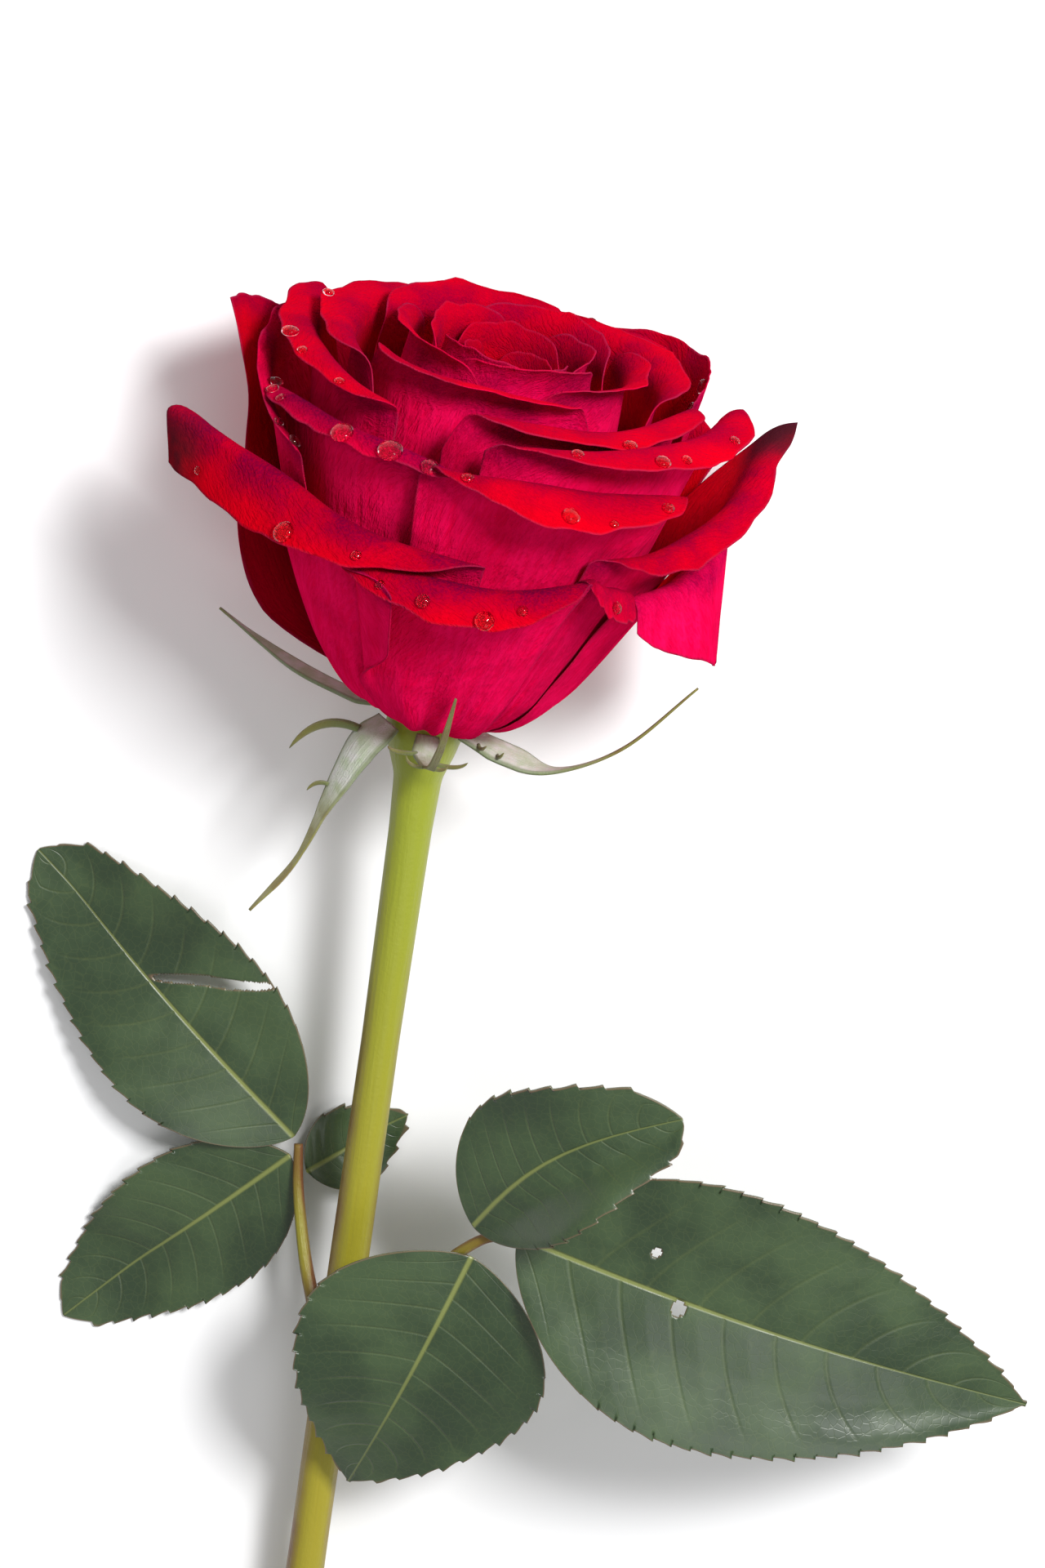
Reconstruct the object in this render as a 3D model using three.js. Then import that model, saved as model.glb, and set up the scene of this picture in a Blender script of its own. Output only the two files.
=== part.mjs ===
// Cut rose lying on a surface. Millimetres, +Z up, the flower toward +Y.
import * as THREE from "three";

// Overall sizes
const HEAD_DIAMETER = 84;
const HEAD_LEAN = 5;
const STEM_LENGTH = 200;
const STEM_TOP_RADIUS = 2.9;
const STEM_WAIST_RADIUS = 2.55;
const STEM_END_RADIUS = 3.2;
const CUT_SLOPE = 0.45;
const HIP_RADIUS = 5.3;
const HIP_LENGTH = 10;
const PETAL_THICKNESS = 0.34;
const SEPAL_THICKNESS = 0.5;
const LEAF_THICKNESS = 0.4;
const STALK_RADIUS = 0.85;

// What the pieces that are drawn against a size follow when that size is changed
const HEAD_GROWTH = HEAD_DIAMETER / 84;
const HIP_GROWTH = HIP_RADIUS - 5.3;
const STEM_GROWTH = 1.08 * (STEM_WAIST_RADIUS - 2.55);
const SHEET_GROWTH = 1.5 * (PETAL_THICKNESS - 0.34);

// How the head rests: depth under its axis and the station along the axis
const REST_DEPTH = 27.5 * HEAD_GROWTH;
const REST_STATION = 34;
const LAYER_STEP = 0.62;
const PRESS_EASE = 0.8;

// Facets
const PETAL_COLUMNS = 8;
const PETAL_BODY_ROWS = 5;
const PETAL_LIP_ROWS = 3;
const PROFILE_STEPS = 90;
const INNER_PETALS = 20;

const HEAD_SCALE = HEAD_DIAMETER / 97.7;
const GOLDEN_ANGLE = 137.5;
const CLAW_HALF_WIDTH = 24;
const CURL_REACH = 11;
const LEAST_LIP = 0.5;

// Slope of the petal profile at each station of its arc, one row per nesting level
const STATIONS = [0, 6, 12, 20, 28, 36, 46, 62];
const LEVELS = [0, 0.4, 0.75, 0.88, 1];
const SLOPES = [
  [62, 78, 86, 88, 90, 92, 96, 100],
  [45, 56, 66, 74, 82, 88, 95, 100],
  [24, 36, 50, 62, 70, 74, 80, 86],
  [14, 26, 44, 60, 66, 68, 70, 72],
  [5, 20, 47, 61, 63, 62, 58, 56],
];
const BASE_RADII = [1.0, 2.8, 4.8, 5.6, 6.4];
const BASE_HEIGHTS = [3.2, 2.2, 1.2, 0.7, 0];

// One petal's sizes; fold, lip and roll are given at its left edge, middle and right edge.
// A peak is its place across, its height and its half width; curl folds a side edge over.
function petal(name, azimuth, level, half, fold, lip, roll, extras) {
  const plain = { flare: [0, 0], corner: [0.04, 0.04], lean: [0, 0, 0], wing: [0, 0],
    curl: [0, 0], peaks: [], wave: 0.5, base: CLAW_HALF_WIDTH, crease: 6 };
  return { name, azimuth, level, half, fold, lip, roll, ...plain, ...extras };
}

const OUTER_PETALS = [
  petal("front", 274, 1, [44, 26], [42.5, 45.5, 50.5], [1.5, 9, 3], [110, 118, 112],
    { corner: [0.03, 0.05], curl: [0.34, 0] }),
  petal("left_back", 140, 0.985, [38, 38], [56, 60, 68], [2, 2, 2], [10, 10, 10],
    { corner: [0.02, 0.02], lean: [0, -4, -8], wing: [0, 9] }),
  petal("right_hanging", 342, 0.97, [26, 22], [44, 45.5, 48.5], [10, 17, 26], [130, 136, 142],
    { corner: [0.03, 0.03] }),
  petal("front_small", 307, 0.945, [8, 9], [47, 46, 44], [5, 8, 7], [115, 120, 120],
    { corner: [0.1, 0.1], base: 10 }),
  petal("back", 70, 0.94, [46, 46], [56, 56, 56], [4, 5, 4], [40, 40, 40],
    { corner: [0.08, 0.08], lean: [0, -3, -3] }),
  petal("front_left", 228, 0.925, [40, 47], [51, 48, 47.5], [9, 10, 2], [165, 120, 110],
    { flare: [0.32, 0], corner: [0.02, 0.02], crease: 4 }),
  petal("front_right", 330, 0.9, [28, 50], [49, 52, 60], [2, 7.5, 2.5], [110, 112, 60],
    { flare: [0, 0.16], corner: [0.03, 0.06] }),
  petal("back_left", 174, 0.87, [46, 46], [60, 59.5, 52], [3, 4, 5], [20, 30, 80],
    { flare: [0.08, 0.04] }),
  petal("back_right", 36, 0.855, [38, 50], [64, 65, 61], [2, 3, 3], [0, 10, 30],
    { flare: [0, 0.12], corner: [0, 0], lean: [-12, -4, 0] }),
  petal("middle_left", 228, 0.815, [32, 40], [54.5, 57, 55.5], [6, 7, 5], [100, 110, 110],
    { flare: [0.04, 0] }),
  petal("middle_right", 288, 0.85, [34, 32], [58, 59, 59], [3, 10, 6], [80, 105, 90],
    { flare: [0, 0.06], corner: [0.05, 0.05], peaks: [[-0.1, 1.5, 0.5]] }),
  petal("upper_right", 318, 0.79, [50, 38], [60, 63, 63.5], [3, 9, 6], [80, 100, 90],
    { flare: [0, 0.04], corner: [0.03, 0.03] }),
  petal("upper_left", 196, 0.745, [44, 44], [60, 60, 59], [7, 8, 6], [75, 95, 95],
    { flare: [0.12, 0] }),
];
const PETALS_INSIDE_FRONT = OUTER_PETALS.length + INNER_PETALS - 1;

const FINISHES = {
  petal: { color: 0xa8061c, roughness: 0.62, metalness: 0 },
  stem: { color: 0x8fa83c, roughness: 0.5, metalness: 0 },
  sepal: { color: 0x7d9467, roughness: 0.8, metalness: 0 },
  stalk: { color: 0x7c8a3c, roughness: 0.55, metalness: 0 },
  leaf: { color: 0x24401f, roughness: 0.4, metalness: 0 },
};

const radians = (degrees) => (degrees * Math.PI) / 180;
const clamp01 = (t) => Math.min(1, Math.max(0, t));
const smooth = (t) => clamp01(t) ** 2 * (3 - 2 * clamp01(t));

// Value of a table at x, straight between its entries
function lookup(x, xs, ys) {
  if (x <= xs[0]) {
    return ys[0];
  }
  for (let k = 1; k < xs.length; k += 1) {
    if (x <= xs[k]) {
      const t = (x - xs[k - 1]) / (xs[k] - xs[k - 1]);
      return ys[k - 1] + t * (ys[k] - ys[k - 1]);
    }
  }
  return ys[ys.length - 1];
}

// Parabola through three values at u = -1, 0 and 1
function across([left, middle, right], u) {
  return middle + ((right - left) / 2) * u + ((left + right) / 2 - middle) * u * u;
}

function slopeAt(level, s) {
  const slopes = STATIONS.map((_, k) => lookup(level, LEVELS, SLOPES.map((row) => row[k])));
  return lookup(s, STATIONS, slopes);
}

// Arc lengths at which a petal column has a point: evenly up to the fold, then along the lip
function columnStops(fold, length) {
  const body = Math.min(fold - 1, length * 0.86);
  const stops = [];
  for (let i = 0; i <= PETAL_BODY_ROWS; i += 1) {
    stops.push((body * i) / PETAL_BODY_ROWS);
  }
  for (let i = 1; i <= PETAL_LIP_ROWS; i += 1) {
    stops.push(body + ((length - body) * i) / PETAL_LIP_ROWS);
  }
  return stops;
}

// Profile of one petal column: its slope is summed along the arc into radius and height
function petalColumn(petal, u) {
  const fold = across(petal.fold, u);
  const lip = Math.max(LEAST_LIP, across(petal.lip, u));
  const roll = across(petal.roll, u);
  const lean = across(petal.lean, u);
  let length = (fold + lip) * (1 - petal.corner[u < 0 ? 0 : 1] * Math.abs(u) ** 7);
  for (const [place, height, spread] of petal.peaks) {
    length += height * Math.max(0, 1 - Math.abs(u - place) / spread) ** 1.3;
  }
  const slopeOf = (s) => {
    const bent = roll * smooth((s - fold) / petal.crease) + lean * smooth((s - 14) / 24);
    return radians(slopeAt(petal.level, s) - bent);
  };
  let r = lookup(petal.level, LEVELS, BASE_RADII);
  let z = lookup(petal.level, LEVELS, BASE_HEIGHTS);
  let s = 0;
  return columnStops(fold, length).map((stop) => {
    const pieces = Math.max(1, Math.ceil((PROFILE_STEPS * (stop - s)) / length));
    const step = (stop - s) / pieces;
    for (let k = 0; k < pieces && step > 0; k += 1) {
      const angle = slopeOf(s + step / 2);
      r += Math.cos(angle) * step;
      z += Math.sin(angle) * step;
      s += step;
    }
    return { s, r, z, angle: slopeOf(s), fold };
  });
}

// Point of a petal in the head's own frame, whose axis is z
function petalPoint(petal, row, u, index) {
  const side = u < 0 ? 0 : 1;
  const width = petal.base + (petal.half[side] - petal.base) * smooth(row.s / 30) ** 0.8;
  const edge = smooth((Math.abs(u) - 0.7) / 0.3);
  const turned = petal.curl[side] * edge * smooth((row.s - 18) / 20);
  const azimuth = radians(petal.azimuth + width * u * (1 - turned));
  const rise = smooth((row.s - row.fold + 14) / 18);
  const nested = SHEET_GROWTH * (PETALS_INSIDE_FRONT - index);
  let radius = row.r * (1 + petal.flare[side] * Math.abs(u) ** 2.2 * rise) + nested;
  radius += turned * CURL_REACH * (1 - 0.5 * smooth((row.s - row.fold) / 6));
  const phase = radians(GOLDEN_ANGLE * index);
  const ripple = Math.sin(3.1 * u + phase) * 0.55 + Math.sin(6.3 * u + 2.1 * phase) * 0.3;
  const wave = ripple * smooth((row.s - 16) / 30) * petal.wave;
  const wing = smooth((row.s - 4) / 12) - 0.7 * smooth((row.s - 26) / 34);
  radius += wave * Math.sin(row.angle) + petal.wing[side] * Math.abs(u) ** 3 * wing;
  const height = row.z - wave * Math.cos(row.angle);
  return [radius * Math.cos(azimuth), radius * Math.sin(azimuth), height].map(
    (value) => value * HEAD_SCALE,
  );
}

// Head frame to stem frame: the axis turns to +Y and leans to the right
function headToStem([x, y, z]) {
  const lean = radians(HEAD_LEAN);
  return [
    x * Math.cos(lean) + z * Math.sin(lean),
    z * Math.cos(lean) - x * Math.sin(lean),
    -y,
  ];
}

const PITCH = Math.atan2(REST_DEPTH - STEM_END_RADIUS, REST_STATION + STEM_LENGTH);
const LIFT = STEM_LENGTH * Math.sin(PITCH) + STEM_END_RADIUS * Math.cos(PITCH);

// Stem frame to the surface the rose lies on
function lay([x, y, z]) {
  return [
    x,
    y * Math.cos(PITCH) - z * Math.sin(PITCH),
    y * Math.sin(PITCH) + z * Math.cos(PITCH) + LIFT,
  ];
}

// Soft tissue is pressed flat where it meets the surface, a height above it per layer
function press([x, y, z], height) {
  const depth = z - height;
  return [x, y, height + (depth + Math.sqrt(depth * depth + PRESS_EASE ** 2)) / 2];
}

const minus = (a, b) => [a[0] - b[0], a[1] - b[1], a[2] - b[2]];
const plus = (a, b, k = 1) => [a[0] + b[0] * k, a[1] + b[1] * k, a[2] + b[2] * k];
const dot = (a, b) => a[0] * b[0] + a[1] * b[1] + a[2] * b[2];
const cross = (a, b) => [
  a[1] * b[2] - a[2] * b[1],
  a[2] * b[0] - a[0] * b[2],
  a[0] * b[1] - a[1] * b[0],
];
const unit = (a) => {
  const size = Math.hypot(...a);
  return a.map((value) => value / size);
};

function solid(points, triangles) {
  const geometry = new THREE.BufferGeometry();
  geometry.setAttribute("position", new THREE.Float32BufferAttribute(points.flat(), 3));
  geometry.setIndex(triangles.flat());
  geometry.computeVertexNormals();
  return geometry;
}

// Closed sheet of even thickness about a grid of rows and columns
function sheet(grid, thickness) {
  const rows = grid.length;
  const cols = grid[0].length;
  const upper = [];
  const lower = [];
  for (let i = 0; i < rows; i += 1) {
    for (let j = 0; j < cols; j += 1) {
      const along = minus(grid[i][Math.min(cols - 1, j + 1)], grid[i][Math.max(0, j - 1)]);
      const up = minus(grid[Math.min(rows - 1, i + 1)][j], grid[Math.max(0, i - 1)][j]);
      const normal = unit(cross(along, up));
      upper.push(plus(grid[i][j], normal, thickness / 2));
      lower.push(plus(grid[i][j], normal, -thickness / 2));
    }
  }
  const count = rows * cols;
  const at = (i, j) => i * cols + j;
  const triangles = [];
  for (let i = 0; i < rows - 1; i += 1) {
    for (let j = 0; j < cols - 1; j += 1) {
      const [a, b, c, d] = [at(i, j), at(i, j + 1), at(i + 1, j + 1), at(i + 1, j)];
      triangles.push([a, b, c], [a, c, d]);
      triangles.push([a + count, c + count, b + count], [a + count, d + count, c + count]);
    }
  }
  const rim = [];
  for (let j = 0; j < cols - 1; j += 1) {
    rim.push(at(0, j));
  }
  for (let i = 0; i < rows - 1; i += 1) {
    rim.push(at(i, cols - 1));
  }
  for (let j = cols - 1; j > 0; j -= 1) {
    rim.push(at(rows - 1, j));
  }
  for (let i = rows - 1; i > 0; i -= 1) {
    rim.push(at(i, 0));
  }
  rim.forEach((a, k) => {
    const b = rim[(k + 1) % rim.length];
    triangles.push([a + count, b + count, b], [a + count, b, a]);
  });
  return solid([...upper, ...lower], triangles);
}

// Round bar along a path with a radius at each point and flat ends
function bar(path, radii, sides, cutSlope = 0) {
  const points = [];
  const triangles = [];
  let normal = [0, 0, 1];
  path.forEach((centre, i) => {
    const ahead = path[Math.min(path.length - 1, i + 1)];
    const heading = unit(minus(ahead, path[Math.max(0, i - 1)]));
    normal = unit(plus(normal, heading, -dot(normal, heading)));
    const aside = cross(heading, normal);
    for (let k = 0; k < sides; k += 1) {
      const angle = (2 * Math.PI * k) / sides;
      const raised = plus(centre, normal, Math.cos(angle) * radii[i]);
      const point = plus(raised, aside, Math.sin(angle) * radii[i]);
      if (i === path.length - 1) {
        point[1] += cutSlope * (point[0] - centre[0]);
      }
      points.push(point);
    }
  });
  const last = (path.length - 1) * sides;
  for (let i = 0; i < path.length - 1; i += 1) {
    for (let k = 0; k < sides; k += 1) {
      const a = i * sides + k;
      const b = i * sides + ((k + 1) % sides);
      triangles.push([a, b, b + sides], [a, b + sides, a + sides]);
    }
  }
  for (let k = 1; k < sides - 1; k += 1) {
    triangles.push([0, k + 1, k]);
    triangles.push([last, last + k, last + k + 1]);
  }
  return solid(points, triangles);
}

const rose = new THREE.Group();
rose.name = "cut_rose";

function add(name, geometry, finish) {
  const mesh = new THREE.Mesh(geometry, new THREE.MeshStandardMaterial(FINISHES[finish]));
  mesh.name = name;
  rose.add(mesh);
}

// Inner petals follow one another by the golden angle, each nested in the one before
function innerPetals() {
  return Array.from({ length: INNER_PETALS }, (_, i) => {
    const inward = i / (INNER_PETALS - 1);
    const outward = 1 - inward;
    const half = 52 + 26 * inward;
    const fold = 60 - 5 * inward - 6 * inward ** 4;
    const lip = 7 * outward + 1.5;
    const roll = 80 * outward + 20;
    const flare = 0.1 * outward;
    return petal(`inner_${i + 1}`, 85 - GOLDEN_ANGLE * i, 0.03 + 0.675 * outward,
      [half, half], [fold, fold, fold], [lip * 0.7, lip, lip * 0.7], [roll, roll, roll],
      { flare: [flare, flare], corner: [0.16, 0.16], peaks: [[0, 1.5 * outward, 0.2]],
        wave: 0.5 * outward + 0.15 });
  });
}

function addPetals() {
  [...OUTER_PETALS, ...innerPetals()].forEach((sizes, index) => {
    const height = PETAL_THICKNESS / 2 + LAYER_STEP * index;
    const columns = [];
    for (let j = 0; j <= PETAL_COLUMNS; j += 1) {
      const u = (2 * j) / PETAL_COLUMNS - 1;
      const points = petalColumn(sizes, u).map((row) => petalPoint(sizes, row, u, index));
      columns.push(points.map((point) => press(lay(headToStem(point)), height)));
    }
    const grid = columns[0].map((_, i) => columns.map((column) => column[i]));
    add(`petal_${sizes.name}`, sheet(grid, PETAL_THICKNESS), "petal");
  });
}

// Stem with the swollen hip that carries the flower
function addStem() {
  const tip = 3.2 * HEAD_SCALE - 0.75;
  const stations = [
    [tip, 0.7], [1.2, 2.9], [0.1, 4.2], [-1.2, HIP_RADIUS - 0.3], [-3, HIP_RADIUS],
    [-6, HIP_RADIUS * 0.86], [-HIP_LENGTH, STEM_TOP_RADIUS * 1.12], [-18, STEM_TOP_RADIUS],
    [-50, STEM_WAIST_RADIUS * 1.02], [-90, STEM_WAIST_RADIUS * 1.08],
    [-130, STEM_WAIST_RADIUS * 1.06], [-STEM_LENGTH, STEM_END_RADIUS],
  ];
  const path = stations.map(([y]) => lay([0, y, 0]));
  add("stem", bar(path, stations.map(([, radius]) => radius), 16, CUT_SLOPE), "stem");
}

// Sepals: azimuth, half width, path of radius and height from the hip outwards, and the half
// width's share at even steps along it
const SEPALS = [
  { azimuth: 150, width: 2.6, path: [[6, -1.6], [12, -3], [20, -3.2], [28, -2], [35, -0.4]],
    shape: [0.8, 1, 0.8, 0.5, 0.3, 0.16, 0.06] },
  { azimuth: 217, width: 3, path: [[6, -1.8], [9.5, -5], [12.5, -13], [15.5, -22], [21, -29]],
    shape: [0.8, 1, 0.95, 0.72, 0.3, 0.13, 0.16, 0.05] },
  { azimuth: 278, width: 2.2, path: [[6, -1.6], [10, -3.2], [15, -2], [19.5, 3.5], [21.5, 11]],
    shape: [1, 1.3, 0.8, 0.36, 0.34, 0.26, 0.1] },
  { azimuth: 345, width: 3, path: [[6, -1.6], [13, -2.6], [19, -2.6], [27, 3.6], [34.5, 15]],
    shape: [0.8, 1, 0.8, 0.42, 0.22, 0.16, 0.05] },
  { azimuth: 66, width: 3, path: [[6, -1.6], [11, -2.8], [16, -2], [20.5, 2], [23, 8]],
    shape: [0.8, 1, 0.85, 0.5, 0.25, 0.1] },
];
const SEPAL_STEPS = 10;
const SEPAL_BEND = 0.06;

// Row of points across a sepal, bent back by the square of their offset
function sepalRow(azimuth, radius, height, half) {
  const turn = radians(azimuth);
  return [-1, -0.5, 0, 0.5, 1].map((share) => {
    const side = half * share;
    const reach = radius - SEPAL_BEND * side * side;
    const x = reach * Math.cos(turn) - side * Math.sin(turn);
    const y = reach * Math.sin(turn) + side * Math.cos(turn);
    return press(lay(headToStem([x, y, height])), SEPAL_THICKNESS / 2);
  });
}

function addSepals() {
  SEPALS.forEach(({ azimuth, width, path, shape }, index) => {
    const curve = new THREE.CatmullRomCurve3(path.map(([r, z]) => new THREE.Vector3(r, 0, z)));
    const shares = shape.map((_, k) => k / (shape.length - 1));
    const grid = [];
    for (let i = 0; i <= SEPAL_STEPS; i += 1) {
      const t = i / SEPAL_STEPS;
      const centre = curve.getPoint(t);
      const nested = SHEET_GROWTH * PETALS_INSIDE_FRONT * smooth(t / 0.3);
      const radius = centre.x * HEAD_GROWTH + HIP_GROWTH + nested;
      const half = width * lookup(t, shares, shape);
      grid.push(sepalRow(azimuth, radius, centre.z * HEAD_GROWTH, half));
    }
    add(`sepal_${index + 1}`, sheet(grid, SEPAL_THICKNESS), "sepal");
  });
}

// Leaf stalks as paths in the stem frame
const LEAF_SIDES = { left: -1, right: 1 };
const STALKS = {
  left: [[-3.6, -94, 0.4], [-6.2, -88, -3.5], [-8.6, -80, -8], [-9.6, -73.5, -10]],
  right: [[3.6, -94, 1], [7.5, -88, 4], [13, -78, 9.5], [17.6, -71.6, 12.6], [21.2, -69.6, 13.6]],
};

// Leaflets: base, tip, half width, how far the margins rise and the middle sags, how far the
// spine bends aside, and how much of the pointed tip is missing
const LEAFLETS = [
  { name: "left_end", base: [-10.4, -72.6, -10.4], tip: [-51.5, -39, -22], half: 14.5,
    fold: 0.1, sag: -3, bend: 0, blunt: 0.1 },
  { name: "left_low", base: [-10.6, -75.6, -10.2], tip: [-40, -109, -18], half: 12,
    fold: 0.1, sag: -2, bend: 0, blunt: 0.08 },
  { name: "left_hidden", base: [-8, -78.5, -11.6], tip: [5, -70, -20], half: 6.5,
    fold: 0.1, sag: -1, bend: 0, blunt: 0 },
  { name: "right_end", base: [22.6, -69.4, 13.8], tip: [95.5, -85.5, 10], half: 20,
    fold: 0.12, sag: -4, bend: 0, blunt: 0 },
  { name: "right_front", base: [16.8, -74.2, 12.8], tip: [4.5, -117, 6], half: 18.5,
    fold: 0.06, sag: -3, bend: 0, blunt: 0 },
  { name: "right_upper", base: [16.4, -69, 13.4], tip: [41.5, -44, 21], half: 12.5,
    fold: 0.12, sag: -2, bend: 4, blunt: 0.1 },
];
const STALK_STEPS = 8;
const STALK_SIDES = 8;
const LEAF_STEPS = 10;
const LEAF_SHARES = [1, 2 / 3, 1 / 3, 0, -1 / 3, -2 / 3, -1];
const LEAF_HEIGHT = LEAF_THICKNESS / 2 + 0.05;

// Half width of a leaflet as a share of its widest, rounded off where the tip is blunt
function leafletHalf(t, blunt) {
  const reach = t * (1 - blunt);
  const hump = Math.sin(Math.PI * reach ** 0.72) ** 0.85 * (1 - 0.12 * reach);
  const round = blunt > 0 ? Math.sqrt(clamp01((1 - t) / 0.08)) : 1;
  return Math.max(0.03, hump * round);
}

// How far the leaves on one side move out when the stem is thicker than it was drawn
const besideStem = (side) => LEAF_SIDES[side] * STEM_GROWTH;

function addStalks() {
  for (const [side, path] of Object.entries(STALKS)) {
    const moved = path.map(([x, y, z]) => new THREE.Vector3(x + besideStem(side), y, z));
    const curve = new THREE.CatmullRomCurve3(moved);
    const points = curve.getPoints(STALK_STEPS).map((point) => lay(point.toArray()));
    const radii = points.map((_, i) => STALK_RADIUS * (1.25 - (0.5 * i) / STALK_STEPS));
    add(`leaf_stalk_${side}`, bar(points, radii, STALK_SIDES), "stalk");
  }
}

function leafletGrid(leaflet) {
  const moved = [besideStem(leaflet.name.split("_")[0]), 0, 0];
  const base = lay(plus(leaflet.base, moved));
  const spine = minus(lay(plus(leaflet.tip, moved)), base);
  const aside = unit(cross(spine, [0, 0, 1]));
  const up = unit(cross(aside, spine));
  const grid = [];
  for (let i = 0; i <= LEAF_STEPS; i += 1) {
    const t = i / LEAF_STEPS;
    const half = leaflet.half * leafletHalf(t, leaflet.blunt);
    const arch = Math.sin(Math.PI * t);
    const level = plus(plus(base, spine, t), aside, -leaflet.bend * arch);
    const centre = plus(level, up, -leaflet.sag * arch);
    grid.push(LEAF_SHARES.map((share) => {
      const offset = half * share;
      const point = plus(plus(centre, aside, offset), up, leaflet.fold * Math.abs(offset));
      return press(point, LEAF_HEIGHT);
    }));
  }
  return grid;
}

function addLeaflets() {
  for (const leaflet of LEAFLETS) {
    add(`leaflet_${leaflet.name}`, sheet(leafletGrid(leaflet), LEAF_THICKNESS), "leaf");
  }
}

addStem();
addSepals();
addPetals();
addStalks();
addLeaflets();

const box = new THREE.Box3().setFromObject(rose);
const centre = box.getCenter(new THREE.Vector3());
for (const mesh of rose.children) {
  mesh.geometry.translate(-centre.x, -centre.y, -box.min.z);
}

export default rose;
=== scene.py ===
"""Cut rose lying on its back: nested velvet petals, felted sepals, glossy leaves and dew.

Lengths are in millimetres while a surface is worked out and in metres once it is a mesh.
"""

from collections import namedtuple
from math import atan2, cos, pi, radians, sin

import bpy
import numpy as np
from bpy.props import FloatProperty, FloatVectorProperty, IntProperty, PointerProperty
from bpy.types import Operator, Panel, PropertyGroup
from mathutils import Matrix, Vector


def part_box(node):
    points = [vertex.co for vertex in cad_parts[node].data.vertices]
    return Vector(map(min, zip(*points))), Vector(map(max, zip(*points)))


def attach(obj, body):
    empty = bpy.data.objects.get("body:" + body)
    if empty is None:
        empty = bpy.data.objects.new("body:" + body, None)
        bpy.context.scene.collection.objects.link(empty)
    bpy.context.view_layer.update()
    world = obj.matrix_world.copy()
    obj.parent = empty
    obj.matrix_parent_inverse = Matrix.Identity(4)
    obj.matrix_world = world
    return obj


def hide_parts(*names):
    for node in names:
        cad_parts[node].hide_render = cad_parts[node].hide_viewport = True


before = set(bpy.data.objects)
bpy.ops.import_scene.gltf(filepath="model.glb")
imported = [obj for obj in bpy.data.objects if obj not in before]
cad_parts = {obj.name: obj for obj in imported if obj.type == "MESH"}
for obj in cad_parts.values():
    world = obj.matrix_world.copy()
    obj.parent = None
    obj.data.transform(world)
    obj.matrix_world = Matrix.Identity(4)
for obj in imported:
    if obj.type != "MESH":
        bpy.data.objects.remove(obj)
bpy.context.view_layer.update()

bl_info = {
    "name": "Cut Rose",
    "version": (1, 0, 0),
    "blender": (4, 5, 0),
    "location": "View3D > Sidebar > Rose",
    "description": "Builds a cut rose lying on a pale table",
    "category": "Object",
}

MM = 0.001

# Driving sizes, as in the solid model
HEAD_DIAMETER = 84.0
HEAD_LEAN = radians(5)
STEM_LENGTH = 200.0
STEM_TOP_RADIUS = 2.9
STEM_WAIST_RADIUS = 2.55
STEM_END_RADIUS = 3.2
CUT_SLOPE = 0.45
HIP_RADIUS = 5.3
HIP_LENGTH = 10.0
STALK_RADIUS = 0.85
REST_DEPTH = 27.5
REST_STATION = 34.0
LAYER_STEP = 0.62
PRESS_EASE = 0.8
HEAD_SCALE = HEAD_DIAMETER / 97.7
STEM_TIP = 3.2 * HEAD_SCALE - 0.75
STEM_TIP_RADIUS = 0.7
FLOOR_GAP = 0.17
GOLDEN_ANGLE = 137.5
INNER_PETALS = 20
CLAW_HALF_WIDTH = 24.0

# Slope in degrees of the petal profile at each station of its arc, a row per nesting level
STATIONS = [0, 6, 12, 20, 28, 36, 46, 62]
LEVELS = [0, 0.4, 0.75, 0.88, 1]
SLOPES = np.array([
    [62, 78, 86, 88, 90, 92, 96, 100],
    [45, 56, 66, 74, 82, 88, 95, 100],
    [24, 36, 50, 62, 70, 74, 80, 86],
    [14, 26, 44, 60, 66, 68, 70, 72],
    [5, 20, 47, 61, 63, 62, 58, 56],
])
BASE_RADII = [1.0, 2.8, 4.8, 5.6, 6.4]
BASE_HEIGHTS = [3.2, 2.2, 1.2, 0.7, 0]

# How finely the surfaces are cut: columns or sides first, then rows
PROFILE_STEPS = 260
BODY_ROWS = 0.6
BODY_REACH = 0.86
STEM_GRID = (48, 260)
SEPAL_GRID = (13, 60)
STALK_GRID = (20, 40)
LOBE_GRID = (10, 14)
DROP_GRID = (20, 9)
DROP_GROWTH = 1.15
LEAFLET_COLUMNS = 111
TOOTH_STEPS = 5
TOOTH_LENGTH = 2.7
SIDE_RIBS = 10.0
RIB_SWEEP = 0.14

# Camera and lights, in metres and degrees
VIEW_TIP = 18
VIEW_ROLL = 8.7
VIEW_DISTANCE = 0.6
PICTURE_WIDTH = 0.2074
VIEW_SHIFT = (0.01253, -0.01026)
HEART = (0, 0.02, 0.01)
KEY_PLACE, KEY_SIZE = (0.38, 0.18, 0.82), 0.22
FILL_PLACE, FILL_SIZE = (0.25, -0.55, 0.74), 0.45
WORLD_STRENGTH = 0.41
TABLE_REACH = 2.0


def petal(name, azimuth, level, half, fold, lip, roll, **extras):
    """One petal's sizes; fold, lip and roll are given at its left edge, middle and right edge.
    A peak is its place across, its height and its half width; curl folds a side edge over;
    dry darkens the corner at its left or right edge."""
    sizes = {"name": name, "azimuth": azimuth, "level": level, "half": half, "fold": fold,
             "lip": lip, "roll": roll, "flare": (0, 0), "corner": (0.04, 0.04), "lean": (0, 0, 0),
             "wing": (0, 0), "curl": (0, 0), "peaks": (), "wave": 0.5,
             # Two of these paint light: the sheen at the fold paints the velvet's grazing sheen and
             # shade there, and the tone turns the inner face crimson, as painted shade where the
             # inner face lies in shade and as the outer face's colour where a side edge curls over.
             "base": CLAW_HALF_WIDTH, "dusk": 0.6, "tone": 0.0, "crease": 6, "rugged": 1.0,
             "dry": (0, 0)}
    return {**sizes, **extras}


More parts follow.
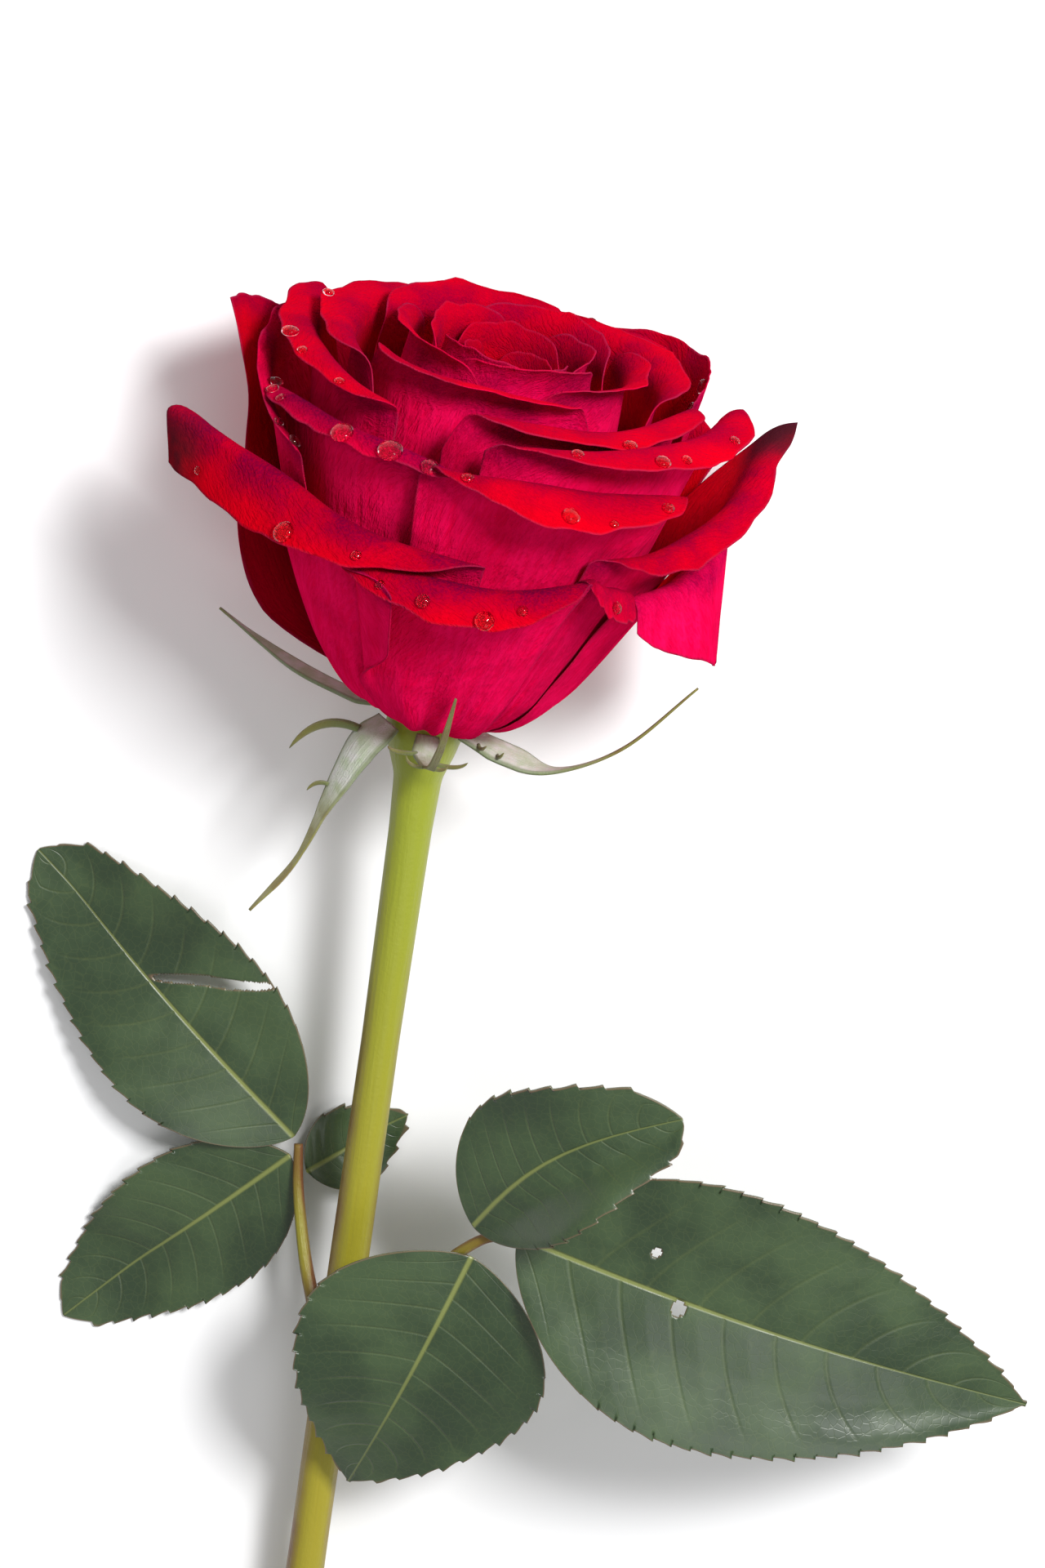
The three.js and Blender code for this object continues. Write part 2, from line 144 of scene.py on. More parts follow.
OUTER_PETALS = [
    petal("front", 274, 1, (44, 26), (42.5, 45.5, 50.5), (1.5, 9, 3), (110, 118, 112),
          corner=(0.03, 0.05), curl=(0.6, 0), dusk=0.9),
    petal("left_back", 140, 0.985, (38, 38), (56, 60, 68), (2, 2, 2), (10, 10, 10),
          corner=(0.02, 0.02), lean=(0, -4, -8), wing=(0, 9)),
    # Its inner face is painted crimson, as shade.
    petal("right_hanging", 342, 0.97, (26, 22), (44, 45.5, 48.5), (10, 17, 26), (130, 136, 142),
          corner=(0.03, 0.03), dusk=0.9, tone=1, rugged=0.25, dry=(0, 0.5)),
    petal("front_small", 307, 0.945, (8, 9), (47, 46, 44), (5, 8, 7), (115, 120, 120),
          corner=(0.1, 0.1), base=10, dusk=0.7, tone=0.3),
    petal("back", 70, 0.94, (46, 46), (56, 56, 56), (4, 5, 4), (40, 40, 40),
          corner=(0.08, 0.08), lean=(0, -3, -3)),
    petal("front_left", 228, 0.925, (40, 47), (51, 48, 47.5), (9, 10, 2), (165, 120, 110),
          flare=(0.32, 0), corner=(0.0, 0.02), crease=4, dusk=0.8, dry=(1, 0),
          peaks=((-1, 2.5, 0.3),)),
    petal("front_right", 330, 0.9, (28, 50), (49, 52, 60), (2, 7.5, 2.5), (110, 112, 60),
          flare=(0, 0.16), corner=(0.03, 0.0), dusk=0.7, dry=(0, 1),
          peaks=((1, 3, 0.3),)),
    petal("back_left", 174, 0.87, (46, 46), (60, 59.5, 52), (3, 4, 5), (20, 30, 80),
          flare=(0.08, 0.04), tone=0.5),
    petal("back_right", 36, 0.855, (38, 50), (64, 65, 61), (2, 3, 3), (0, 10, 30),
          flare=(0, 0.12), corner=(0, 0), lean=(-12, -4, 0), dry=(0, 0.7)),
    petal("middle_left", 228, 0.815, (32, 40), (54.5, 57, 55.5), (6, 7, 5), (100, 110, 110),
          flare=(0.04, 0), dusk=1.0, tone=0.4),
    petal("middle_right", 288, 0.85, (34, 32), (58, 59, 59), (3, 10, 6), (80, 105, 90),
          flare=(0, 0.06), corner=(0.05, 0.05), peaks=((-0.1, 1.5, 0.5),)),
    petal("upper_right", 318, 0.79, (50, 38), (60, 63, 63.5), (3, 9, 6), (80, 100, 90),
          flare=(0, 0.04), corner=(0.03, 0.03)),
    petal("upper_left", 196, 0.745, (44, 44), (60, 60, 59), (7, 8, 6), (75, 95, 95),
          flare=(0.12, 0)),
]


def inner_petals():
    """Petals that follow one another by the golden angle, each nested in the one before."""
    made = []
    for i in range(INNER_PETALS):
        inward = i / (INNER_PETALS - 1)
        outward = 1 - inward
        lip, roll, flare = 7 * outward + 1.5, 80 * outward + 20, 0.1 * outward
        half, fold = 52 + 26 * inward, 60 - 5 * inward - 6 * inward**4
        made.append(petal(
            f"inner_{i + 1}", 85 - GOLDEN_ANGLE * i, 0.03 + 0.675 * outward, (half, half),
            (fold, fold, fold), (lip * 0.7, lip, lip * 0.7), (roll, roll, roll),
            flare=(flare, flare), corner=(0.16, 0.16), peaks=((0, 1.5 * outward, 0.2),),
            wave=0.5 * outward + 0.15))
    return made


# Path of radius and height from the hip outwards, the half width's share at even steps along it,
# thin lobes as (start share, side, length, droop, half thickness) and tail, which moves the
# colour of the thin end towards the base
Sepal = namedtuple("Sepal", "azimuth width tail path shape lobes")

SEPALS = [
    Sepal(150, 2.6, -0.3, [(6, -1.6), (12, -3), (20, -3.2), (28, -2), (35, -0.4)],
          [0.8, 1, 0.8, 0.5, 0.3, 0.16, 0.06], []),
    Sepal(217, 3, 0.15, [(6, -1.8), (9.5, -5), (12.5, -13), (15.5, -22), (21, -29)],
          [0.8, 1, 0.95, 0.72, 0.3, 0.13, 0.16, 0.05],
          [(0.2, -1, 8, -6.5, 0.85), (0.46, -1, 2.5, -2, 0.4)]),
    Sepal(278, 1.5, 0.35, [(6, -1.6), (10, -3.2), (15, -2), (19.5, 3.5), (21.5, 11)],
          [1, 1.3, 0.8, 0.36, 0.34, 0.26, 0.1],
          [(0.2, -1, 4.5, 1.5, 0.4), (0.3, 1, 4, 2, 0.4), (0.42, -1, 3, 2, 0.3),
           (0.5, 1, 1.6, 1, 0.3)]),
    Sepal(345, 3, 0.05, [(6, -1.6), (13, -2.6), (19, -2.6), (27, 3.6), (34.5, 15)],
          [0.8, 1, 0.8, 0.42, 0.22, 0.16, 0.05],
          [(0.1, -1, 3, 1.5, 0.35), (0.2, -1, 2, 1.5, 0.3)]),
    Sepal(66, 3, 0.0, [(6, -1.6), (11, -2.8), (16, -2), (20.5, 2), (23, 8)],
          [0.8, 1, 0.85, 0.5, 0.25, 0.1], [(0.3, 1, 3, 1, 0.4)]),
]

# Leaf stalks as paths beside the stem
STALKS = {
    "left": [(-3.6, -94, 0.4), (-6.2, -88, -3.5), (-8.6, -80, -8), (-9.6, -73.5, -10)],
    "right": [(3.6, -94, 1), (7.5, -88, 4), (13, -78, 9.5), (17.6, -71.6, 12.6),
              (21.2, -69.6, 13.6)],
}


def leaflet(name, base, tip, half, fold, sag, **extras):
    """One leaflet's sizes. A hole is its place along and across as shares, its two radii in
    millimetres and how much it slants. slim narrows and lift raises its left and right halves,
    seen from base to tip."""
    sizes = {"name": name, "base": base, "tip": tip, "half": half, "fold": fold, "sag": sag,
             "bend": 0.0, "blunt": 0.0, "holes": (), "slim": (1, 1), "lift": (0, 0)}
    return {**sizes, **extras}


LEAFLETS = [
    leaflet("left_end", (-10.4, -72.6, -10.4), (-51.5, -39, -22), 14.5, 0.1, -3, blunt=0.1,
            holes=((0.45, 0.5, 1.15, 6.8, -0.24),), lift=(0, 1)),
    leaflet("left_low", (-10.6, -75.6, -10.2), (-40, -109, -18), 12, 0.1, -2, blunt=0.08),
    leaflet("left_hidden", (-8, -78.5, -11.6), (5, -70, -20), 6.5, 0.1, -1),
    leaflet("right_end", (22.6, -69.4, 13.8), (95.5, -85.5, 10), 20, 0.12, -4,
            holes=((0.24, -0.32, 0.6, 0.8, 0), (0.315, 0.06, 0.95, 1.1, 0.02)), lift=(0, 2)),
    leaflet("right_front", (16.8, -74.2, 12.8), (4.5, -117, 6), 18.5, 0.06, -3),
    leaflet("right_upper", (16.4, -69, 13.4), (41.5, -44, 21), 12.5, 0.12, -2, bend=4,
            blunt=0.16, slim=(1, 0.74), lift=(0, 4.5)),
]


# Places

def smooth(t):
    """Eased step from 0 to 1: 3t^2 - 2t^3, held outside."""
    t = np.clip(t, 0, 1)
    return t * t * (3 - 2 * t)


def across(values, u):
    """Parabola through three values at u = -1, 0 and 1."""
    left, middle, right = values
    return middle + (right - left) / 2 * u + ((left + right) / 2 - middle) * u * u


def by_side(pair, u):
    """The first of a pair where u is below 0 and the second elsewhere."""
    return np.where(u < 0, pair[0], pair[1])


def catmull(points, t):
    """Smooth curve through points, at shares t of the way along, by Catmull and Rom's cubic."""
    p = np.asarray(points, float)
    p = np.vstack([2 * p[0] - p[1], p, 2 * p[-1] - p[-2]])
    x = np.clip(np.asarray(t, float), 0, 1) * (len(p) - 3)
    k = np.minimum(x.astype(int), len(p) - 4)
    f = (x - k)[:, None]
    a, b, c, d = p[k], p[k + 1], p[k + 2], p[k + 3]
    return b + 0.5 * f * (c - a + f * (2 * a - 5 * b + 4 * c - d + f * (3 * (b - c) + d - a)))


PITCH = atan2(REST_DEPTH - STEM_END_RADIUS, REST_STATION + STEM_LENGTH)
LIFT = STEM_LENGTH * sin(PITCH) + STEM_END_RADIUS * cos(PITCH)


def stem_shift():
    """Sideways shift that puts the stem where the solid model's box has it, in millimetres."""
    low, high = (np.array(corner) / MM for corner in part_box("stem"))
    tip = STEM_TIP * cos(PITCH) + STEM_TIP_RADIUS * sin(PITCH)
    return np.array([(low[0] + high[0]) / 2, high[1] - tip, low[2]])


SHIFT = stem_shift()


def lay(points):
    """Stem frame to the table: a turn about X by the pitch, then the lift and the shift."""
    x, y, z = np.moveaxis(np.asarray(points, float), -1, 0)
    turned = np.stack([x, y * cos(PITCH) - z * sin(PITCH),
                       y * sin(PITCH) + z * cos(PITCH) + LIFT], axis=-1)
    return turned + SHIFT


def head_to_stem(points):
    """Head frame, whose axis is z, to the stem frame: the axis turns to +Y and leans right."""
    x, y, z = np.moveaxis(np.asarray(points, float), -1, 0)
    return np.stack([x * cos(HEAD_LEAN) + z * sin(HEAD_LEAN),
                     z * cos(HEAD_LEAN) - x * sin(HEAD_LEAN), -y], axis=-1)


def press(points, height):
    """Soft tissue pressed flat on the table: z is eased to stay above a height."""
    pressed = points.copy()
    depth = points[..., 2] - height
    pressed[..., 2] = height + (depth + np.sqrt(depth**2 + PRESS_EASE**2)) / 2
    return pressed


# Meshes

def grid_normals(grid):
    """Unit normals of a grid of points: the cross product of its two central differences."""
    along = np.gradient(grid, axis=1)
    up = np.gradient(grid, axis=0)
    normal = np.cross(along, up)
    return normal / np.maximum(np.linalg.norm(normal, axis=-1, keepdims=True), 1e-12)


def sheet(grid, thickness, fields, keep=None):
    """Closed sheet about a grid: the grid moved out and in by half the thickness along its
    normals, with a strip round every open edge. keep drops cells, for holes."""
    rows, cols = grid.shape[:2]
    normal = grid_normals(grid)
    half = np.broadcast_to(np.asarray(thickness, float) / 2, (rows, cols))[..., None]
    outer = (grid + normal * half).reshape(-1, 3)
    inner = (grid - normal * half).reshape(-1, 3)
    index = np.arange(rows * cols).reshape(rows, cols)
    quads = np.stack([index[:-1, :-1], index[:-1, 1:], index[1:, 1:], index[1:, :-1]], axis=-1)
    quads = quads.reshape(-1, 4) if keep is None else quads[keep]
    count = rows * cols
    edges = np.concatenate([quads[:, [k, (k + 1) % 4]] for k in range(4)])
    keys = edges[:, 0] * count + edges[:, 1]
    open_edges = edges[~np.isin(keys, edges[:, 1] * count + edges[:, 0])]
    a, b = open_edges.T
    strip = np.stack([a + count, b + count, b, a], axis=-1)
    faces = np.concatenate([quads, quads[:, ::-1] + count, strip])
    given = {"outer": np.concatenate([np.ones(count), np.zeros(count)])}
    for name, values in fields.items():
        given[name] = np.tile(np.broadcast_to(values, (rows, cols)).reshape(-1), 2)
    uv = np.stack(np.meshgrid(np.linspace(0, 1, cols), np.linspace(0, 1, rows)), axis=-1)
    uv = np.tile(uv.reshape(-1, 2), (2, 1))
    return {"points": np.concatenate([outer, inner]), "faces": faces, "fields": given, "uv": uv,
            "inner face": (inner.reshape(rows, cols, 3), -normal),
            "outer face": (outer.reshape(rows, cols, 3), normal)}


def ring_faces(rows, sides):
    """Quads between rows of rings, and triangles from the two ends to the two points after them."""
    index = np.arange(rows * sides).reshape(rows, sides)
    beside = np.roll(index, -1, axis=1)
    walls = np.stack([index[:-1], beside[:-1], beside[1:], index[1:]], axis=-1).reshape(-1, 4)
    first, last = rows * sides, rows * sides + 1
    start = np.stack([np.full(sides, first), beside[0], index[0]], axis=-1)
    end = np.stack([np.full(sides, last), index[-1], beside[-1]], axis=-1)
    return {"faces": walls, "ends": np.concatenate([start, end])}


def tube(path, radii, sides, fields, end_slope=0.0):
    """Round bar: circles of the given radii across a path, with a middle point at each end."""
    path = np.asarray(path, float)
    heading = np.gradient(path, axis=0)
    heading /= np.linalg.norm(heading, axis=1, keepdims=True)
    up = np.array([0, 0, 1.0]) - heading * heading[:, 2:]
    up /= np.linalg.norm(up, axis=1, keepdims=True)
    side = np.cross(heading, up)
    angle = np.linspace(pi, 3 * pi, sides, endpoint=False)
    reach = np.broadcast_to(np.asarray(radii, float).reshape(len(path), -1), (len(path), sides))
    ring = (path[:, None] + reach[..., None] * (np.cos(angle)[None, :, None] * up[:, None]
            + np.sin(angle)[None, :, None] * side[:, None]))
    ring[-1, :, 1] += end_slope * (ring[-1, :, 0] - path[-1, 0])
    rows = len(path)
    points = np.concatenate([ring.reshape(-1, 3), path[:1], path[-1:]])
    round_share = np.tile(np.arange(sides) / sides, rows)
    along = np.repeat(np.linspace(0, 1, rows), sides)
    uv = np.stack([np.append(round_share, [0, 0]), np.append(along, [0, 1])], axis=-1)
    given = {"outer": np.ones(len(points))}
    for name, values in fields.items():
        full = np.broadcast_to(np.broadcast_to(values, rows)[:, None], (rows, sides))
        given[name] = np.append(full.reshape(-1), [full[0].mean(), full[-1].mean()])
    return {"points": points, "fields": given, "uv": uv, **ring_faces(rows, sides)}


def joined(parts):
    """Several closed surfaces as one, with their corners renumbered."""
    names = sorted(set().union(*(part["fields"] for part in parts)))
    offset, faces, ends = 0, [], []
    for part in parts:
        faces.append(part["faces"] + offset)
        if "ends" in part:
            ends.append(part["ends"] + offset)
        offset += len(part["points"])
    merged = {
        "points": np.concatenate([part["points"] for part in parts]),
        "faces": np.concatenate(faces),
        "uv": np.concatenate([part["uv"] for part in parts]),
        "fields": {name: np.concatenate([
            part["fields"].get(name, np.zeros(len(part["points"]))) for part in parts])
            for name in names},
    }
    if ends:
        merged["ends"] = np.concatenate(ends)
    return merged


def place(name, surface, material, node=None):
    """Puts a surface into a mesh object on the rose's one body, in place of its CAD node."""
    mesh = bpy.data.meshes.new(name)
    quads = surface["faces"]
    ends = surface.get("ends", np.zeros((0, 3), int))
    loops = np.concatenate([quads.reshape(-1), ends.reshape(-1)])
    sizes = np.concatenate([np.full(len(quads), quads.shape[1]), np.full(len(ends), 3)])
    mesh.vertices.add(len(surface["points"]))
    mesh.vertices.foreach_set("co", (surface["points"] * MM).reshape(-1))
    mesh.loops.add(len(loops))
    mesh.loops.foreach_set("vertex_index", loops)
    mesh.polygons.add(len(sizes))
    mesh.polygons.foreach_set("loop_start", np.cumsum(sizes) - sizes)
    mesh.polygons.foreach_set("use_smooth", np.ones(len(sizes), bool))
    mesh.update(calc_edges=True)
    uv = surface["uv"][loops]
    wall = uv[:quads.size].reshape(*quads.shape, 2)
    wraps = np.ptp(wall[..., 0], axis=1, keepdims=True) > 0.5
    wall[..., 0] += wraps & (wall[..., 0] < 0.5)
    mesh.uv_layers.new(name="Grid").data.foreach_set("uv", uv.reshape(-1))
    for field, values in surface["fields"].items():
        attribute = mesh.attributes.new(field, "FLOAT", "POINT")
        attribute.data.foreach_set("value", values.astype(np.float32))
    mesh.materials.append(material)
    mesh.validate()
    piece = bpy.data.objects.new(name, mesh)
    bpy.context.scene.collection.objects.link(piece)
    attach(piece, "root")
    if node:
        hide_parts(node)
    return piece


# Petals

def nicks(u, seed):
    """Unevenness of a rim along u: straight runs between a few corners, and a fine wander."""
    run = np.abs(((u * 1.9 + seed * 0.37) % 1) - 0.5) + np.abs(((u * 3.1 + seed * 0.71) % 1) - 0.5)
    return run * 0.9 + np.sin(u * 17 + seed) * 0.08 + np.sin(u * 31 + 2.3 * seed) * 0.06


def petal_columns(p, u, rows):
    """Profile of every petal column: the slope angle is summed along the arc, and the radius
    and height are read off at the rows. Past the fold the slope turns down by the roll."""
    fold = across(p["fold"], u)
    lip = np.maximum(0.5, across(p["lip"], u))
    length = (fold + lip) * (1 - by_side(p["corner"], u) * np.abs(u) ** 7)
    for place_at, height, spread in p["peaks"]:
        length = length + height * np.maximum(0, 1 - np.abs(u - place_at) / spread) ** 1.3
    length = length + nicks(u, p["azimuth"]) * (0.3 + 0.7 * p["level"]) * p["rugged"]
    s = np.linspace(0, 1, PROFILE_STEPS)[:, None] * length
    stations = [np.interp(p["level"], LEVELS, SLOPES[:, k]) for k in range(len(STATIONS))]
    slope = np.interp(s, STATIONS, stations) - across(p["lean"], u) * smooth((s - 14) / 24)
    slope -= across(p["roll"], u) * smooth((s - fold) / p["crease"])
    angle = np.radians(slope)
    step = np.diff(s, axis=0, prepend=0)
    middle = np.vstack([angle[:1], (angle[1:] + angle[:-1]) / 2])
    radius = np.interp(p["level"], LEVELS, BASE_RADII) + np.cumsum(np.cos(middle) * step, axis=0)
    height = np.interp(p["level"], LEVELS, BASE_HEIGHTS) + np.cumsum(np.sin(middle) * step, axis=0)
    body = np.minimum(fold - 1, length * BODY_REACH)
    share = rows[:, None]
    stops = np.where(share < BODY_ROWS, body * share / BODY_ROWS,
                     body + (length - body) * (share - BODY_ROWS) / (1 - BODY_ROWS))
    read = [np.stack([np.interp(stops[:, j], s[:, j], values[:, j]) for j in range(len(u))], axis=1)
            for values in (radius, height, angle)]
    return stops, fold, length, *read


def petal_points(p, index, u, rows):
    """Petal surface in the head frame: each column is turned about the axis by its share of the
    half width, with a flare at the rim, a wing at the side and, along its normal, broad ripples,
    gathers at the base and a fine crimp at the rim."""
    s, fold, length, radius, height, angle = petal_columns(p, u, rows)
    side = np.abs(u)[None]
    width = p["base"] + (by_side(p["half"], u) - p["base"]) * smooth(s / 30) ** 0.8
    turned = by_side(p["curl"], u) * smooth((side - 0.7) / 0.3) * smooth((s - 13) / 18)
    azimuth = np.radians(p["azimuth"] + width * u * (1 - turned))
    radius = radius * (1 + by_side(p["flare"], u) * side ** 2.2 * smooth((s - fold + 14) / 18))
    radius = radius + turned * 11 * (1 - 0.5 * smooth((s - fold) / 6))
    wing = smooth((s - 4) / 12) - 0.7 * smooth((s - 26) / 34)
    radius = radius + by_side(p["wing"], u) * side ** 3 * wing
    phase = radians(GOLDEN_ANGLE * index)
    ripple = np.sin(3.1 * u + phase) * 0.55 + np.sin(6.3 * u + 2.1 * phase) * 0.3
    gather = 0.45 * np.sin(8 * u + 2 * np.sin(3 * u + phase)) * p["level"]
    near = np.exp(-np.minimum(length - s, (1 - side) * 20) / 2.2)
    crimp = np.sin(u * 15 + phase) + 0.7 * np.sin(u * 34 + s * 0.5 + 3 * phase)
    relief = (ripple * p["wave"] * smooth((s - 16) / 30)
              + gather * smooth((s - 3) / 6) * (1 - smooth((s - 12) / 26))
              + crimp * near * 0.14 * p["level"])
    radius = radius + relief * np.sin(angle)
    height = height - relief * np.cos(angle)
    points = np.stack([radius * np.cos(azimuth), radius * np.sin(azimuth), height], axis=-1)
    edge = np.minimum(length - s, (1 - side) * np.radians(width) * np.abs(radius))
    # Painted grazing sheen and shade of the velvet, in a band just past the fold.
    dusk = smooth((s - fold + 3) / 4) * (1 - smooth((s - fold - 2.5) / 8))
    corner = smooth((side - 0.66) / 0.28) * smooth((s / length - 0.8) / 0.16)
    return points * HEAD_SCALE, {
        "margin": np.clip(edge * HEAD_SCALE / 4, 0, 1),
        "fold": p["dusk"] * dusk,
        "dry": by_side(p["dry"], u) * corner,
        # Inner face turned to the outer crimson: painted shade on a petal whose inner face lies in
        # shade, and the outer face's colour where a side edge curls over.
        "tone": np.maximum(p["tone"], smooth(turned * 5)),
        "reach": s / length,
    }


def petal_surface(p, index, thickness, columns, row_count):
    """Closed petal on the table, thinner towards its rim."""
    u = np.sin(np.linspace(-1, 1, columns) * pi / 2 * 0.86) / sin(pi / 2 * 0.86)
    rows = np.linspace(0, 1, row_count)
    points, fields = petal_points(p, index, u, rows)
    grid = press(lay(head_to_stem(points)), FLOOR_GAP + LAYER_STEP * index)
    depth = thickness * (0.45 + 0.55 * smooth(fields["margin"] * 2))
    return sheet(grid, depth, fields)


# Stem, sepals and leaves

def stem_surface(sides, rows):
    """Stem and hip: circles along the straight axis, their radius read off a smooth profile."""
    stations = np.array([
        (STEM_TIP, STEM_TIP_RADIUS), (1.2, 2.9), (0.1, 4.2), (-1.2, HIP_RADIUS - 0.3),
        (-3, HIP_RADIUS), (-6, HIP_RADIUS * 0.86), (-HIP_LENGTH, STEM_TOP_RADIUS * 1.12),
        (-18, STEM_TOP_RADIUS), (-50, STEM_WAIST_RADIUS * 1.02), (-90, STEM_WAIST_RADIUS * 1.08),
        (-130, STEM_WAIST_RADIUS * 1.06), (-STEM_LENGTH, STEM_END_RADIUS)])
    t = np.linspace(0, 1, rows) ** 1.7
    y = STEM_TIP - t * (STEM_LENGTH + STEM_TIP)
    radius = np.interp(-y, -stations[:, 0], stations[:, 1])
    kernel = np.ones(5) / 5
    eased = np.convolve(np.pad(radius, 2, mode="edge"), kernel, mode="valid")
    radius = np.where(y < 0, np.minimum(eased, radius + 0.05), radius)
    path = lay(np.stack([np.zeros(rows), y, np.zeros(rows)], axis=-1))
    return tube(path, radius, sides, {"down": -y / STEM_LENGTH}, CUT_SLOPE)


def sepal_strip(sepal, thickness, columns, rows):
    """Sepal blade: rows across a smooth path, each bent back by the square of its offset, with
    rolled edges; thin lobes are tubes that leave its edge and droop."""
    t = np.linspace(0, 1, rows)
    path = catmull(sepal.path, t)
    shape = sepal.shape
    half = sepal.width * np.interp(t, np.linspace(0, 1, len(shape)), shape)
    side = half[:, None] * np.linspace(-1, 1, columns)
    twist = 0.5 * np.sin(t * 9 + sepal.azimuth)[:, None] * smooth(t * 2)[:, None]
    radius = path[:, :1] - 0.06 * side**2
    rise = path[:, 1:] + side * twist * 0.4 - 0.04 * side**2
    turn = radians(sepal.azimuth)
    out, beside = np.array([cos(turn), sin(turn), 0]), np.array([-sin(turn), cos(turn), 0])
    grid = radius[..., None] * out + side[..., None] * beside
    grid[..., 2] += rise
    grid = press(lay(head_to_stem(grid)), thickness / 2)
    depth = thickness * (0.5 + 0.5 * np.clip(half / 1.2, 0.1, 1))[:, None]
    aside = np.abs(np.linspace(-1, 1, columns))[None]
    parts = [sheet(grid, depth, {"reach": t[:, None] + sepal.tail, "side": aside})]
    for share, hand, length, droop, stout in sepal.lobes:
        row = int(share * (rows - 1))
        start = radius[row, columns // 2] * out + hand * half[row] * 0.7 * beside
        start = start + [0, 0, rise[row, columns // 2]]
        sides, steps = LOBE_GRID
        w = np.linspace(0, 1, steps)[:, None]
        line = (start + beside * hand * length * np.sin(w * 1.3) + out * length * 0.6 * w
                + np.array([0, 0, droop]) * w**2)
        line = press(lay(head_to_stem(line)), thickness)
        slim = stout * (0.6 + 0.8 * w[:, 0]) * (1 - w[:, 0]) ** 0.7 + 0.05
        parts.append(tube(line, slim, sides, {"reach": 0.5 + 0.5 * w[:, 0]}))
    return joined(parts)


def leaflet_half(t, blunt):
    """Half width of a leaflet as a share of its widest: a sine hump drawn towards the base, cut
    short and rounded off where the tip is blunt."""
    t = np.clip(t, 0, 1)
    reach = t * (1 - blunt)
    hump = np.sin(pi * reach ** 0.72) ** 0.85 * (1 - 0.12 * reach)
    return np.maximum(0.03, hump * np.sqrt(np.clip((1 - t) / 0.08, 0, 1)) if blunt else hump)


def leaflet_rows(teeth, steps):
    """Shares along a leaflet, close together where a tooth drops back."""
    phase = np.append(np.linspace(0, 0.4, steps), np.linspace(0.5, 0.9, steps))
    rows = (np.arange(teeth)[:, None] + phase).reshape(-1) / teeth
    return np.append(rows, 1)


def leaflet_surface(leaf, index, thickness, columns):
    """Leaflet: rows across a sagging spine, folded up from the midrib, quilted between its side
    ribs; each tooth of the margin rises slowly towards the tip and drops back."""
    base, tip = lay(leaf["base"]), lay(leaf["tip"])
    spine = tip - base
    length = np.linalg.norm(spine)
    aside = np.cross(spine, [0, 0, 1.0])
    aside /= np.linalg.norm(aside)
    up = np.cross(aside, spine)
    up /= np.linalg.norm(up)
    teeth = int(length / TOOTH_LENGTH)
    t = leaflet_rows(teeth, TOOTH_STEPS)[:, None]
    j = (np.sin(np.linspace(1, -1, columns) * 1.35) / sin(1.35))[None]
    side = np.abs(j)
    half = leaf["half"] * leaflet_half(t, leaf["blunt"]) * by_side(leaf["slim"], j)
    size = 0.75 + 0.45 * np.sin(teeth * t * 2.2 + index) ** 2
    saw = (t * teeth + 0.5 * (j > 0)) % 1
    rise_to = np.where(saw < 0.9, saw / 0.9, (1 - saw) / 0.1)
    tooth = size * rise_to**1.5 * smooth((side - 0.9) / 0.1) * smooth((t - 0.12) * 6)
    tooth = tooth * smooth((1 - t) * 12)
    offset = half * j + np.sign(j) * (tooth * 0.42 - 0.2 * side)
    forward = tooth * 0.5
    arch = np.sin(pi * t)
    veins = np.abs(((t - RIB_SWEEP * side ** 1.4) * SIDE_RIBS + 0.5 * (j > 0)) % 1 - 0.5) * 2
    quilt = 0.09 * veins**1.5 * smooth((1 - side) * 5) * smooth(side * 8) * arch
    wave = 0.9 * np.sin(8 * t + index * 1.7 + 2 * (j > 0)) * side ** 1.5 * arch
    lift = by_side(leaf["lift"], j) * smooth((side - 0.4) / 0.6) * arch
    rise = leaf["fold"] * np.abs(offset) - leaf["sag"] * arch + quilt + wave + lift
    middle = base + spine * t[..., None] - aside * (leaf["bend"] * arch)[..., None]
    grid = (middle + aside * offset[..., None] + up * rise[..., None]
            + spine / length * forward[..., None])
    grid = press(grid, thickness / 2 + 0.05)
    cell_t = (t[1:] + t[:-1]) / 2
    cell_j = (j[:, 1:] + j[:, :-1]) / 2
    hurt = np.full(grid.shape[:2], 9.0)
    keep = np.ones((len(t) - 1, columns - 1), bool)
    for along, beside, long, wide, slant in leaf["holes"]:
        def away(t_at, j_at):
            ragged = 1 + 0.14 * np.sin(t_at * 90 + j_at * 11)
            return np.hypot((t_at - along - slant * (j_at - beside)) * length / long,
                            (j_at - beside) * leaf["half"] / wide) * ragged
        keep &= away(cell_t, cell_j) > 1
        hurt = np.minimum(hurt, (away(t, j) - 1) * min(long, wide))
    fields = {"rib": np.clip(np.abs(offset) / 4, 0, 1),
              "rim": np.clip(np.minimum(half * (1 - side) / 2, hurt / 2), 0, 1),
              "reach": t, "side": side}
    return sheet(grid, thickness, fields, keep)


# Dew

